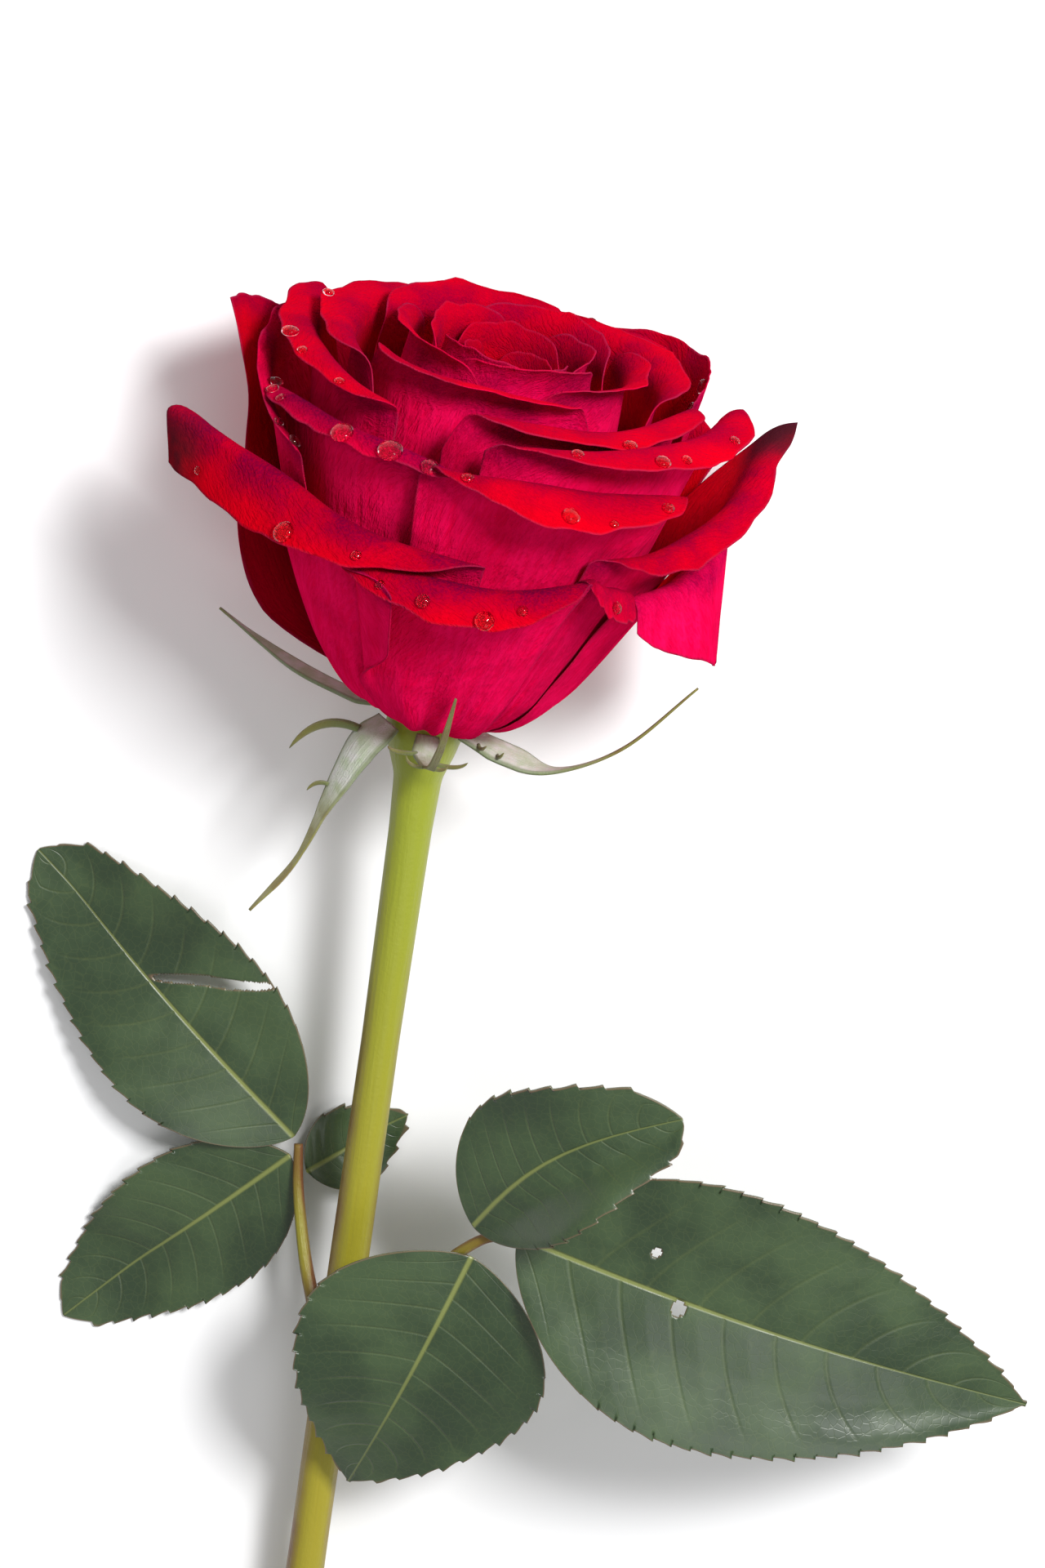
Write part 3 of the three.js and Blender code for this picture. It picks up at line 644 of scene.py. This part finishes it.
# Drops on each petal or leaflet: share across from its left edge, share along, radius
DEW = {
    "front": [(0.33, 0.93, 0.55), (0.42, 0.915, 0.8), (0.55, 0.96, 1.1), (0.66, 0.92, 0.6)],
    "front_small": [(0.5, 0.93, 0.7)],
    "front_left": [(0.5, 0.95, 1.25), (0.66, 0.93, 0.6), (0.2, 0.93, 0.5)],
    "middle_left": [(0.08, 0.955, 0.9), (0.2, 0.96, 0.75), (0.3, 0.965, 0.6), (0.56, 0.96, 1.3),
                    (0.68, 0.965, 1.4), (0.8, 0.965, 1)],
    "back_left": [(0.95, 0.97, 0.8), (0.86, 0.97, 0.6)],
    "middle_right": [(0.25, 0.95, 0.7), (0.5, 0.94, 1), (0.62, 0.97, 0.5), (0.8, 0.95, 0.7)],
    "upper_right": [(0.3, 0.95, 0.7), (0.45, 0.96, 0.9), (0.5, 0.94, 0.6), (0.7, 0.95, 0.6)],
    "upper_left": [(0.5, 0.97, 1), (0.6, 0.96, 0.6), (0.75, 0.97, 0.6)],
    "back_right": [(0.12, 0.9, 0.9), (0.2, 0.8, 0.7), (0.3, 0.93, 0.9), (0.16, 0.7, 0.6)],
    "inner_1": [(0.4, 0.95, 0.8), (0.7, 0.9, 0.6)],
    "inner_2": [(0.5, 0.97, 0.8)],
    "inner_3": [(0.5, 0.96, 0.7)],
    "right_end": [(0.7, 0.78, 0.9)],
    "right_front": [(0.35, 0.4, 1.1), (0.3, 0.62, 1.6), (0.42, 0.75, 1.3), (0.4, 0.25, 0.8)],
}


def drop(point, normal, radius):
    """Dewdrop: an ellipsoid flattened along the face it lies on, sunk a fifth of its height."""
    normal = normal / np.linalg.norm(normal)
    beside = np.cross(normal, [0.31, 0.87, 0.38])
    beside /= np.linalg.norm(beside)
    across_it = np.cross(normal, beside)
    sides, rows = DROP_GRID
    polar = np.linspace(pi, 0, rows + 2)[1:-1, None]
    turn = np.linspace(0, 2 * pi, sides, endpoint=False)[None]
    height = radius * 0.55
    centre = point + normal * height * 0.6
    ring = (centre + radius * (np.sin(polar) * np.cos(turn))[..., None] * beside
            + radius * (np.sin(polar) * np.sin(turn))[..., None] * across_it
            + height * (np.cos(polar) + 0 * turn)[..., None] * normal)
    points = np.concatenate([ring.reshape(-1, 3), [centre - normal * height],
                             [centre + normal * height]])
    return {"points": points, "fields": {}, "uv": np.zeros((len(points), 2)),
            **ring_faces(rows, sides)}


def dew_surface(faces):
    """All the drops, each on its own face. faces maps a name to its inner points and normals."""
    drops = []
    for name, places in DEW.items():
        points, normals = faces[name]
        rows, columns = points.shape[:2]
        for aside, along, radius in places:
            at = int(along * (rows - 1)), int(aside * (columns - 1))
            drops.append(drop(points[at], normals[at], radius * DROP_GROWTH))
    return joined(drops)


# Nodes

class Output:
    """Output of a node, which + - * and abs carry on through Math nodes."""

    def __init__(self, graph, socket):
        self.graph, self.socket = graph, socket

    def __add__(self, other):
        return self.graph.math("ADD", self, other)

    def __sub__(self, other):
        return self.graph.math("SUBTRACT", self, other)

    def __rsub__(self, other):
        return self.graph.math("SUBTRACT", other, self)

    def __mul__(self, other):
        return self.graph.math("MULTIPLY", self, other)

    def __abs__(self):
        return self.graph.math("ABSOLUTE", self)


class Graph:
    """Node tree with short calls for the nodes used most."""

    def __init__(self, tree):
        self.tree = tree

    def feed(self, socket, value):
        """Links an output to a socket, or sets the socket's own value."""
        if isinstance(value, Output):
            self.tree.links.new(value.socket, socket)
        else:
            socket.default_value = (*value, 1.0) if socket.type == "RGBA" else value

    def node(self, kind, output, inputs=None, **settings):
        """Adds a node with its settings and inputs, and gives one of its outputs."""
        made = self.tree.nodes.new(kind)
        for key, value in settings.items():
            setattr(made, key, value)
        for key, value in (inputs or {}).items():
            self.feed(made.inputs[key], value)
        return Output(self, made.outputs[output])

    def outputs(self, node):
        return {socket.name: Output(self, socket) for socket in node.outputs}

    def math(self, operation, *values, clamp=False):
        return self.node("ShaderNodeMath", 0, dict(enumerate(values)), operation=operation,
                         use_clamp=clamp)

    def mix(self, factor, a, b):
        """Colour a turned to colour b by a factor."""
        return self.node("ShaderNodeMix", 2, {0: factor, 6: a, 7: b}, data_type="RGBA")

    def band(self, value, low, high, to_low=0.0, to_high=1.0):
        """Value from low to high as a clamped, smooth ramp."""
        return self.node("ShaderNodeMapRange", "Result", {
            "Value": value, "From Min": low, "From Max": high, "To Min": to_low,
            "To Max": to_high}, interpolation_type="SMOOTHSTEP")

    def field(self, name):
        """Number kept at each corner of the piece's mesh."""
        return self.node("ShaderNodeAttribute", "Fac", attribute_name=name)

    def own_place(self):
        """The piece's own coordinates."""
        return self.node("ShaderNodeTexCoord", "Object")

    def grid(self):
        """Shares across and along the surface."""
        return self.node("ShaderNodeUVMap", "UV", uv_map="Grid")

    def axis(self, vector, name):
        return self.node("ShaderNodeSeparateXYZ", name, {"Vector": vector})

    def noise(self, vector, scale, detail, roughness=0.5, output="Fac"):
        return self.node("ShaderNodeTexNoise", output, {
            "Vector": vector, "Scale": scale, "Detail": detail, "Roughness": roughness})

    def use(self, group, **values):
        """Places a node group with its own values and gives its outputs by name."""
        made = self.tree.nodes.new("ShaderNodeGroup")
        made.node_tree = bpy.data.node_groups[group]
        for key, value in values.items():
            made.inputs[key.replace("_", " ").capitalize()].default_value = value
        return self.outputs(made)

    def tissue(self, scale, fine_scale):
        made = self.use("Living tissue", scale=scale, fine_scale=fine_scale)
        return made["Mottle"], made["Grain"]

    def streaks(self, **values):
        return self.use("Lengthwise streaks", **values)["Streak"]

    def finish(self, colour, rough, height, distance, strength):
        """Gives the shader its colour, roughness and relief."""
        relief = self.node("ShaderNodeBump", "Normal", {
            "Height": height, "Distance": distance, "Strength": strength})
        for name, value in (("Base Color", colour), ("Roughness", rough), ("Normal", relief)):
            self.feed(self.shader.inputs[name], value)
        return self.material


def new_group(name, inputs, outputs):
    """Graph of a new shader node group of numbers, its inputs by name and its output sockets."""
    graph = Graph(bpy.data.node_groups.new(name, "ShaderNodeTree"))
    new_socket = graph.tree.interface.new_socket
    for title, default in inputs.items():
        new_socket(title, in_out="INPUT", socket_type="NodeSocketFloat").default_value = default
    for title in outputs:
        new_socket(title, in_out="OUTPUT", socket_type="NodeSocketFloat")
    given = graph.outputs(graph.tree.nodes.new("NodeGroupInput"))
    return graph, given, graph.tree.nodes.new("NodeGroupOutput").inputs


def tissue_group():
    """Mottling: broad and fine noise on the piece's own coordinates, as one mask and a height."""
    graph, given, out = new_group(
        "Living tissue", {"Scale": 200.0, "Fine scale": 1800.0}, ["Mottle", "Grain"])
    broad = graph.noise(graph.own_place(), given["Scale"], 4.0)
    graph.feed(out["Mottle"], graph.band(broad, 0.3, 0.7))
    graph.feed(out["Grain"], graph.noise(graph.own_place(), given["Fine scale"], 2.0))


def streak_group():
    """Lengthwise streaks: noise drawn out along the piece's grid, as a mask of fine ribs."""
    graph, given, out = new_group(
        "Lengthwise streaks", {"Across": 40.0, "Along": 3.0, "Slant": 0.0, "Contrast": 0.2},
        ["Streak"])
    grid = graph.grid()
    bend = graph.noise(grid, 3.0, 2.0, output="Color")
    bend = graph.node("ShaderNodeVectorMath", "Vector", {0: bend, "Scale": 0.12},
                      operation="SCALE")
    bent = graph.node("ShaderNodeVectorMath", "Vector", {0: grid, 1: bend})
    aside, along = graph.axis(bent, "X"), graph.axis(bent, "Y")
    drawn = graph.node("ShaderNodeCombineXYZ", "Vector", {
        "X": aside * given["Across"] + along * given["Slant"], "Y": along * given["Along"]})
    ramp = graph.node("ShaderNodeMapRange", "Result", {
        "Value": graph.noise(drawn, 1.0, 4.0, 0.6), "From Min": 0.5 - given["Contrast"],
        "From Max": given["Contrast"] + 0.5})
    graph.feed(out["Streak"], ramp)


def new_material(name, **plain):
    """Graph of a new material with one shader; plain values are set on its own sockets."""
    material = bpy.data.materials.new(name)
    material.use_nodes = True
    graph = Graph(material.node_tree)
    graph.material, graph.shader = material, graph.tree.nodes["Principled BSDF"]
    for key, value in plain.items():
        title = key.replace("_", " ").title().replace("Ior", "IOR")
        graph.shader.inputs[title].default_value = value
    return graph


# Materials

def petal_material(flower):
    """Velvet: bright red inside with painted shade towards the base and a crimson painted shade on
    inner faces that lie in shade, streaked crimson outside with a painted highlight on the
    crinkles, a painted sheen and shade of the velvet at the fold, and a dusky rim.
    """
    graph = new_material("petal velvet", sheen_weight=0.05, sheen_roughness=0.4,
                         sheen_tint=(0.9, 0.05, 0.3, 1), specular_ior_level=0.0)
    mix, band, field = graph.mix, graph.band, graph.field
    mottle, grain = graph.tissue(150.0, 3200.0)
    streaks = graph.streaks(across=17.0, along=2.6, contrast=0.16)
    ribs = graph.streaks(across=90.0, along=5.0, contrast=0.2)
    crinkle = graph.streaks(across=42.0, along=15.0, slant=-24.0, contrast=0.3)
    crinkle = band(abs(crinkle - 0.5), 0.24, 0.0)
    # Painted shade: the inner face darkens towards the petal's base, deep in the cup; the same red
    # then mottles both faces at random.
    inner = mix(band(field("reach"), 0.45, 0.92), flower.base_shade_and_mottle, flower.inner)
    inner = mix(mottle * 0.3, inner, flower.base_shade_and_mottle)
    # Paler streaks along the veins, and along the crinkles a painted highlight.
    veins_and_crinkle_highlight = streaks * (ribs * 0.4 + 0.35) + crinkle * 0.4
    outer = mix(veins_and_crinkle_highlight, flower.outer, flower.streak)
    outer = mix(mottle * 0.3, outer, flower.base_shade_and_mottle)
    # Painted shade on inner faces that lie in shade, and the outer face's colour on curled side
    # edges.
    inner = mix(field("tone"), inner, outer)
    colour = mix(field("outer"), inner, outer)
    # Painted grazing sheen and shade of the velvet along the fold, broken into fine specks.
    fold_sheen_specks = band(grain, 0.4, 0.6, 0.7, 1.0) * band(mottle, 0.0, 1.0, 0.55, 1.1)
    colour = mix(field("fold") * fold_sheen_specks, colour, flower.fold)
    rim = band(field("margin"), 0.1, 0.0) * band(mottle, 0.0, 1.0, 0.1, 0.7)
    colour = mix(rim, colour, flower.rim)
    dry = field("dry") * band(mottle, 0.0, 1.0, 0.6, 1.0)
    colour = mix(dry, colour, flower.dry)
    height = streaks * 0.7 + ribs * 0.15 + crinkle * 0.5 + grain * 0.22 + mottle * 0.8
    return graph.finish(colour, band(grain, 0.3, 0.7, 0.5, 0.66), height, 0.0003, 0.7)


def dew_material():
    """Clear water, smooth all over, with a pink tint painted in for the red seen through it, on the
    drops on leaves too.
    """
    return new_material("dew", base_color=(1, 0.62, 0.68, 1), roughness=0.0, ior=1.25,
                        transmission_weight=1.0).material


def leaf_material(leafage):
    """Glossy leaf: dark green above with pale ribs, grey-green below, a brown toothed rim."""
    graph = new_material("leaf", specular_ior_level=0.5, coat_weight=0.3, coat_roughness=0.24)
    mix, band, field = graph.mix, graph.band, graph.field
    mottle, _ = graph.tissue(90.0, 1500.0)
    side, reach = field("side"), field("reach")
    left = graph.math("LESS_THAN", graph.axis(graph.grid(), "X"), 0.5)
    forward = graph.math("POWER", side, 1.4) * RIB_SWEEP
    ladder = (reach - forward) * SIDE_RIBS + left * 0.5
    side_rib = band(abs(graph.math("FRACT", ladder) - 0.5), 0.07, 0.0) * band(side, 1.0, 0.5)
    width = band(reach, 0.0, 1.0, 0.14, 0.05)
    midrib = band(field("rib"), width, width * 0.3)
    cells = graph.node("ShaderNodeTexVoronoi", "Distance", {
        "Vector": graph.own_place(), "Scale": 900.0}, feature="DISTANCE_TO_EDGE")
    net = band(cells, 0.08, 0.0)
    colour = mix(mottle, leafage.dark, leafage.green)
    for mask in (net * 0.05, side_rib * 0.07, midrib * band(reach, 1.0, 0.1, 0.35, 0.75)):
        colour = mix(mask, colour, leafage.rib)
    colour = mix(band(field("rim"), 0.12, 0.0) * 0.45, colour, leafage.rim)
    below = mix(graph.math("MAXIMUM", midrib, side_rib), leafage.below, leafage.rib)
    colour = mix(field("outer"), colour, below)
    veins = graph.math("MAXIMUM", midrib, side_rib * 0.6)
    relief = veins * -1.0 - net * 0.07 + mottle * 0.6
    return graph.finish(colour, band(mottle, 0.0, 1.0, 0.34, 0.5), relief, 0.00025, 0.5)


def stem_material(leafage):
    """Smooth stem: fresh green at the top, olive lower down, and purple-brown along both flanks,
    more so lower down.
    """
    graph = new_material("stem", specular_ior_level=0.4)
    mix, band, field = graph.mix, graph.band, graph.field
    mottle, grain = graph.tissue(120.0, 1600.0)
    streaks = graph.streaks(across=22.0, along=9.0, contrast=0.2)
    down = field("down")
    colour = mix(band(down, 0.05, 0.5), leafage.stem_top, leafage.stem_low)
    colour = mix(streaks * 0.1, colour, leafage.rib)
    turn = graph.axis(graph.grid(), "X")
    flank = band(abs(turn - 0.75), 0.22, 0.06) + band(abs(turn - 0.25), 0.14, 0.04) * 0.5
    tint = flank * band(down, 0.08, 0.4, 0.15, 0.95) * band(mottle, 0.0, 1.0, 0.6, 1.0)
    tint = graph.math("ADD", tint, field("aged"), clamp=True)
    colour = mix(tint, colour, leafage.blush)
    return graph.finish(colour, 0.42, streaks + grain, 0.00012, 0.5)


def sepal_material(leafage):
    """Felted sepal: pale grey felt on its inner face, green with a reddish tip outside."""
    graph = new_material("sepal", sheen_weight=0.2, sheen_roughness=0.5)
    mix, band, field = graph.mix, graph.band, graph.field
    mottle, grain = graph.tissue(420.0, 4200.0)
    streaks = graph.streaks(across=18.0, along=2.0, contrast=0.18)
    outside = mix(streaks * 0.5, leafage.sepal, leafage.rib)
    felt = mix(mottle, leafage.felt, leafage.sepal_pale)
    colour = mix(field("outer"), felt, outside)
    colour = mix(band(field("side"), 0.72, 0.95) * 0.7, colour, leafage.sepal)
    tail = band(field("reach"), 0.5, 0.85)
    colour = mix(tail * 0.85, colour, leafage.tail)
    colour = mix(band(mottle, 0.5, 1.0) * 0.4 * tail, colour, leafage.blush)
    return graph.finish(colour, 0.75, streaks + grain, 0.0002, 0.7)


def floor_material(stage):
    """Plain pale table."""
    return new_material("pale table", base_color=(*stage.floor, 1), roughness=0.8,
                        specular_ior_level=0.2).material


# Settings

def colour_property(name, default):
    return FloatVectorProperty(name=name, default=default, size=3, min=0, max=1,
                               subtype="COLOR")


def thickness_property(name, default):
    return FloatProperty(name=f"{name} in millimetres", default=default, min=0.1, max=1)


def power_property(name, default):
    return FloatProperty(name=name, default=default, min=0, subtype="POWER")


class RoseFlower(PropertyGroup):
    thickness: thickness_property("Petal", 0.34)
    columns: IntProperty(name="Mesh columns across a petal", default=57, min=9, max=200)
    rows: IntProperty(name="Mesh rows along a petal", default=64, min=9, max=200)
    inner: colour_property("Bright red of the inner face", (0.6, 0.0, 0.007))
    # Painted shade towards the base of the inner face, also the red of the random mottling.
    base_shade_and_mottle: colour_property("Red towards the petal's base", (0.24, 0.0, 0.008))
    outer: colour_property("Crimson of the outer face", (0.74, 0.0, 0.046))
    streak: colour_property("Paler streaks of the outer face", (0.88, 0.004, 0.095))
    # Painted grazing sheen and shade of the velvet along the fold.
    fold: colour_property("Dusky purple along the fold", (0.14, 0.0, 0.03))
    rim: colour_property("Velvet edge of a petal", (0.34, 0.015, 0.06))
    dry: colour_property("Dried corner of a petal", (0.05, 0.008, 0.012))


class RoseLeafage(PropertyGroup):
    thickness: thickness_property("Leaflet", 0.4)
    sepal_thickness: thickness_property("Sepal", 0.5)
    green: colour_property("Upper face of a leaflet", (0.046, 0.082, 0.03))
    dark: colour_property("Darker mottling of the upper face", (0.022, 0.044, 0.018))
    rib: colour_property("Midrib and side ribs", (0.24, 0.27, 0.07))
    rim: colour_property("Toothed rim", (0.25, 0.12, 0.08))
    below: colour_property("Lower face of a leaflet", (0.12, 0.16, 0.09))
    stem_top: colour_property("Fresh green below the flower", (0.27, 0.31, 0.022))
    stem_low: colour_property("Olive of the lower stem", (0.33, 0.28, 0.02))
    blush: colour_property("Purple-brown flank of the stem", (0.15, 0.055, 0.015))
    sepal: colour_property("Outer face of a sepal", (0.13, 0.17, 0.05))
    sepal_pale: colour_property("Greener felt", (0.36, 0.44, 0.28))
    tail: colour_property("Thin tips and lobes of a sepal", (0.2, 0.18, 0.025))
    felt: colour_property("Pale felt on the inner face", (0.56, 0.57, 0.54))


class RoseStage(PropertyGroup):
    floor: colour_property("Colour of the table", (0.9, 0.9, 0.91))
    key: power_property("Key light", 10.5)
    fill: power_property("Fill light", 1.5)


# Operators

WET = {}  # faces that can carry dew, filled as the pieces are built


class ROSE_OT_petals(Operator):
    """Build every petal of the head, outer ones first"""
    bl_idname = "rose.petals"
    bl_label = "Petals"

    def execute(self, context):
        flower = context.scene.rose_flower
        material = petal_material(flower)
        for index, p in enumerate(OUTER_PETALS + inner_petals()):
            surface = petal_surface(p, index, flower.thickness, flower.columns, flower.rows)
            WET[p["name"]] = surface["inner face"]
            name = f"petal_{p['name']}"
            place(f"{name}_velvet", surface, material, name)
        return {"FINISHED"}


class ROSE_OT_stem(Operator):
    """Build the stem with its hip"""
    bl_idname = "rose.stem"
    bl_label = "Stem"

    def execute(self, context):
        material = stem_material(context.scene.rose_leafage)
        place("stem_skin", stem_surface(*STEM_GRID), material, "stem")
        return {"FINISHED"}


class ROSE_OT_sepals(Operator):
    """Build the five sepals"""
    bl_idname = "rose.sepals"
    bl_label = "Sepals"

    def execute(self, context):
        leafage = context.scene.rose_leafage
        material = sepal_material(leafage)
        for index, sepal in enumerate(SEPALS):
            surface = sepal_strip(sepal, leafage.sepal_thickness, *SEPAL_GRID)
            place(f"sepal_{index + 1}_felt", surface, material, f"sepal_{index + 1}")
        return {"FINISHED"}


class ROSE_OT_leaves(Operator):
    """Build the leaf stalks and the leaflets"""
    bl_idname = "rose.leaves"
    bl_label = "Leaves"

    def execute(self, context):
        leafage = context.scene.rose_leafage
        green = stem_material(leafage)
        for side, path in STALKS.items():
            sides, rows = STALK_GRID
            t = np.linspace(0, 1, rows)
            radii = STALK_RADIUS * (1.25 - 0.5 * t)
            fields = {"down": 0.3, "aged": 0.5 + 0.3 * np.cos(t * 7)}
            surface = tube(lay(catmull(path, t)), radii, sides, fields)
            place(f"leaf_stalk_{side}_skin", surface, green, f"leaf_stalk_{side}")
        material = leaf_material(leafage)
        for index, leaf in enumerate(LEAFLETS):
            surface = leaflet_surface(leaf, index, leafage.thickness, LEAFLET_COLUMNS)
            WET[leaf["name"]] = surface["outer face"]
            name = f"leaflet_{leaf['name']}"
            place(f"{name}_blade", surface, material, name)
        return {"FINISHED"}


class ROSE_OT_dew(Operator):
    """Build the dew on the petals and leaflets, which must be there first"""
    bl_idname = "rose.dew"
    bl_label = "Dew"

    def execute(self, context):
        place("dew_drops", dew_surface(WET), dew_material())
        return {"FINISHED"}


def look_frame():
    """Turn whose columns are the camera's axes: right, up and back. The view is tipped towards
    the flower and rolled."""
    tip, roll = radians(VIEW_TIP), radians(VIEW_ROLL)
    right = Vector((cos(roll), sin(roll) * cos(tip), -sin(roll) * sin(tip)))
    up = Vector((-sin(roll), cos(roll) * cos(tip), -cos(roll) * sin(tip)))
    return Matrix((right, up, Vector((0, sin(tip), cos(tip))))).transposed()


class ROSE_OT_stage(Operator):
    """Build the pale table, the lights and the camera"""
    bl_idname = "rose.stage"
    bl_label = "Stage"

    def execute(self, context):
        stage = context.scene.rose_stage
        scene = context.scene
        mesh = bpy.data.meshes.new("table")
        corners = [(x * TABLE_REACH, y * TABLE_REACH, 0)
                   for x, y in ((-1, -1), (1, -1), (1, 1), (-1, 1))]
        mesh.from_pydata(corners, [], [(0, 1, 2, 3)])
        mesh.materials.append(floor_material(stage))
        table = bpy.data.objects.new("table", mesh)
        scene.collection.objects.link(table)
        view = look_frame()
        neck = Vector(lay([0, 0, 0]) * MM)
        self.camera(scene, view, neck)
        heart = neck + Vector(HEART)
        self.lamp(scene, "key", heart, view @ Vector(KEY_PLACE), KEY_SIZE, stage.key)
        self.lamp(scene, "fill", heart, view @ Vector(FILL_PLACE), FILL_SIZE, stage.fill)
        world = bpy.data.worlds.new("studio")
        world.use_nodes = True
        background = world.node_tree.nodes["Background"]
        background.inputs["Color"].default_value = (1, 1, 1, 1)
        background.inputs["Strength"].default_value = WORLD_STRENGTH
        scene.world = world
        scene.view_settings.view_transform = "Standard"
        return {"FINISHED"}

    def camera(self, scene, view, neck):
        """Camera whose picture's long side is PICTURE_WIDTH at the neck of the flower."""
        data = bpy.data.cameras.new("camera")
        data.lens = data.sensor_width * VIEW_DISTANCE / PICTURE_WIDTH
        data.clip_start, data.clip_end = 0.01, 20
        camera = bpy.data.objects.new("camera", data)
        scene.collection.objects.link(camera)
        place_at = neck + view @ Vector((*VIEW_SHIFT, VIEW_DISTANCE))
        camera.matrix_world = Matrix.Translation(place_at) @ view.to_4x4()
        scene.camera = camera

    def lamp(self, scene, name, heart, offset, size, power):
        """Square soft light that faces the flower."""
        data = bpy.data.lights.new(name, "AREA")
        data.size, data.energy = size, power
        lamp = bpy.data.objects.new(name, data)
        scene.collection.objects.link(lamp)
        lamp.matrix_world = Matrix.Translation(heart + offset) @ (
            offset.to_track_quat("Z", "Y").to_matrix().to_4x4())


class ROSE_PT_panel(Panel):
    """Steps that build the rose"""
    bl_idname = "ROSE_PT_panel"
    bl_label = "Cut Rose"
    bl_space_type = "VIEW_3D"
    bl_region_type = "UI"
    bl_category = "Rose"

    def draw(self, context):
        layout = self.layout
        for operator in STEPS:
            layout.operator(operator.bl_idname)


STEPS = [ROSE_OT_stage, ROSE_OT_stem, ROSE_OT_sepals, ROSE_OT_petals, ROSE_OT_leaves,
         ROSE_OT_dew]
SETTINGS = {"rose_flower": RoseFlower, "rose_leafage": RoseLeafage, "rose_stage": RoseStage}


def register():
    for kind in (*SETTINGS.values(), *STEPS, ROSE_PT_panel):
        bpy.utils.register_class(kind)
    for name, kind in SETTINGS.items():
        setattr(bpy.types.Scene, name, PointerProperty(type=kind))


def unregister():
    for name in SETTINGS:
        delattr(bpy.types.Scene, name)
    for kind in reversed((*SETTINGS.values(), *STEPS, ROSE_PT_panel)):
        bpy.utils.unregister_class(kind)


def main():
    register()
    tissue_group()
    streak_group()
    for step in STEPS:
        area, action = step.bl_idname.split(".")
        getattr(getattr(bpy.ops, area), action)()


if __name__ == "__main__":
    main()
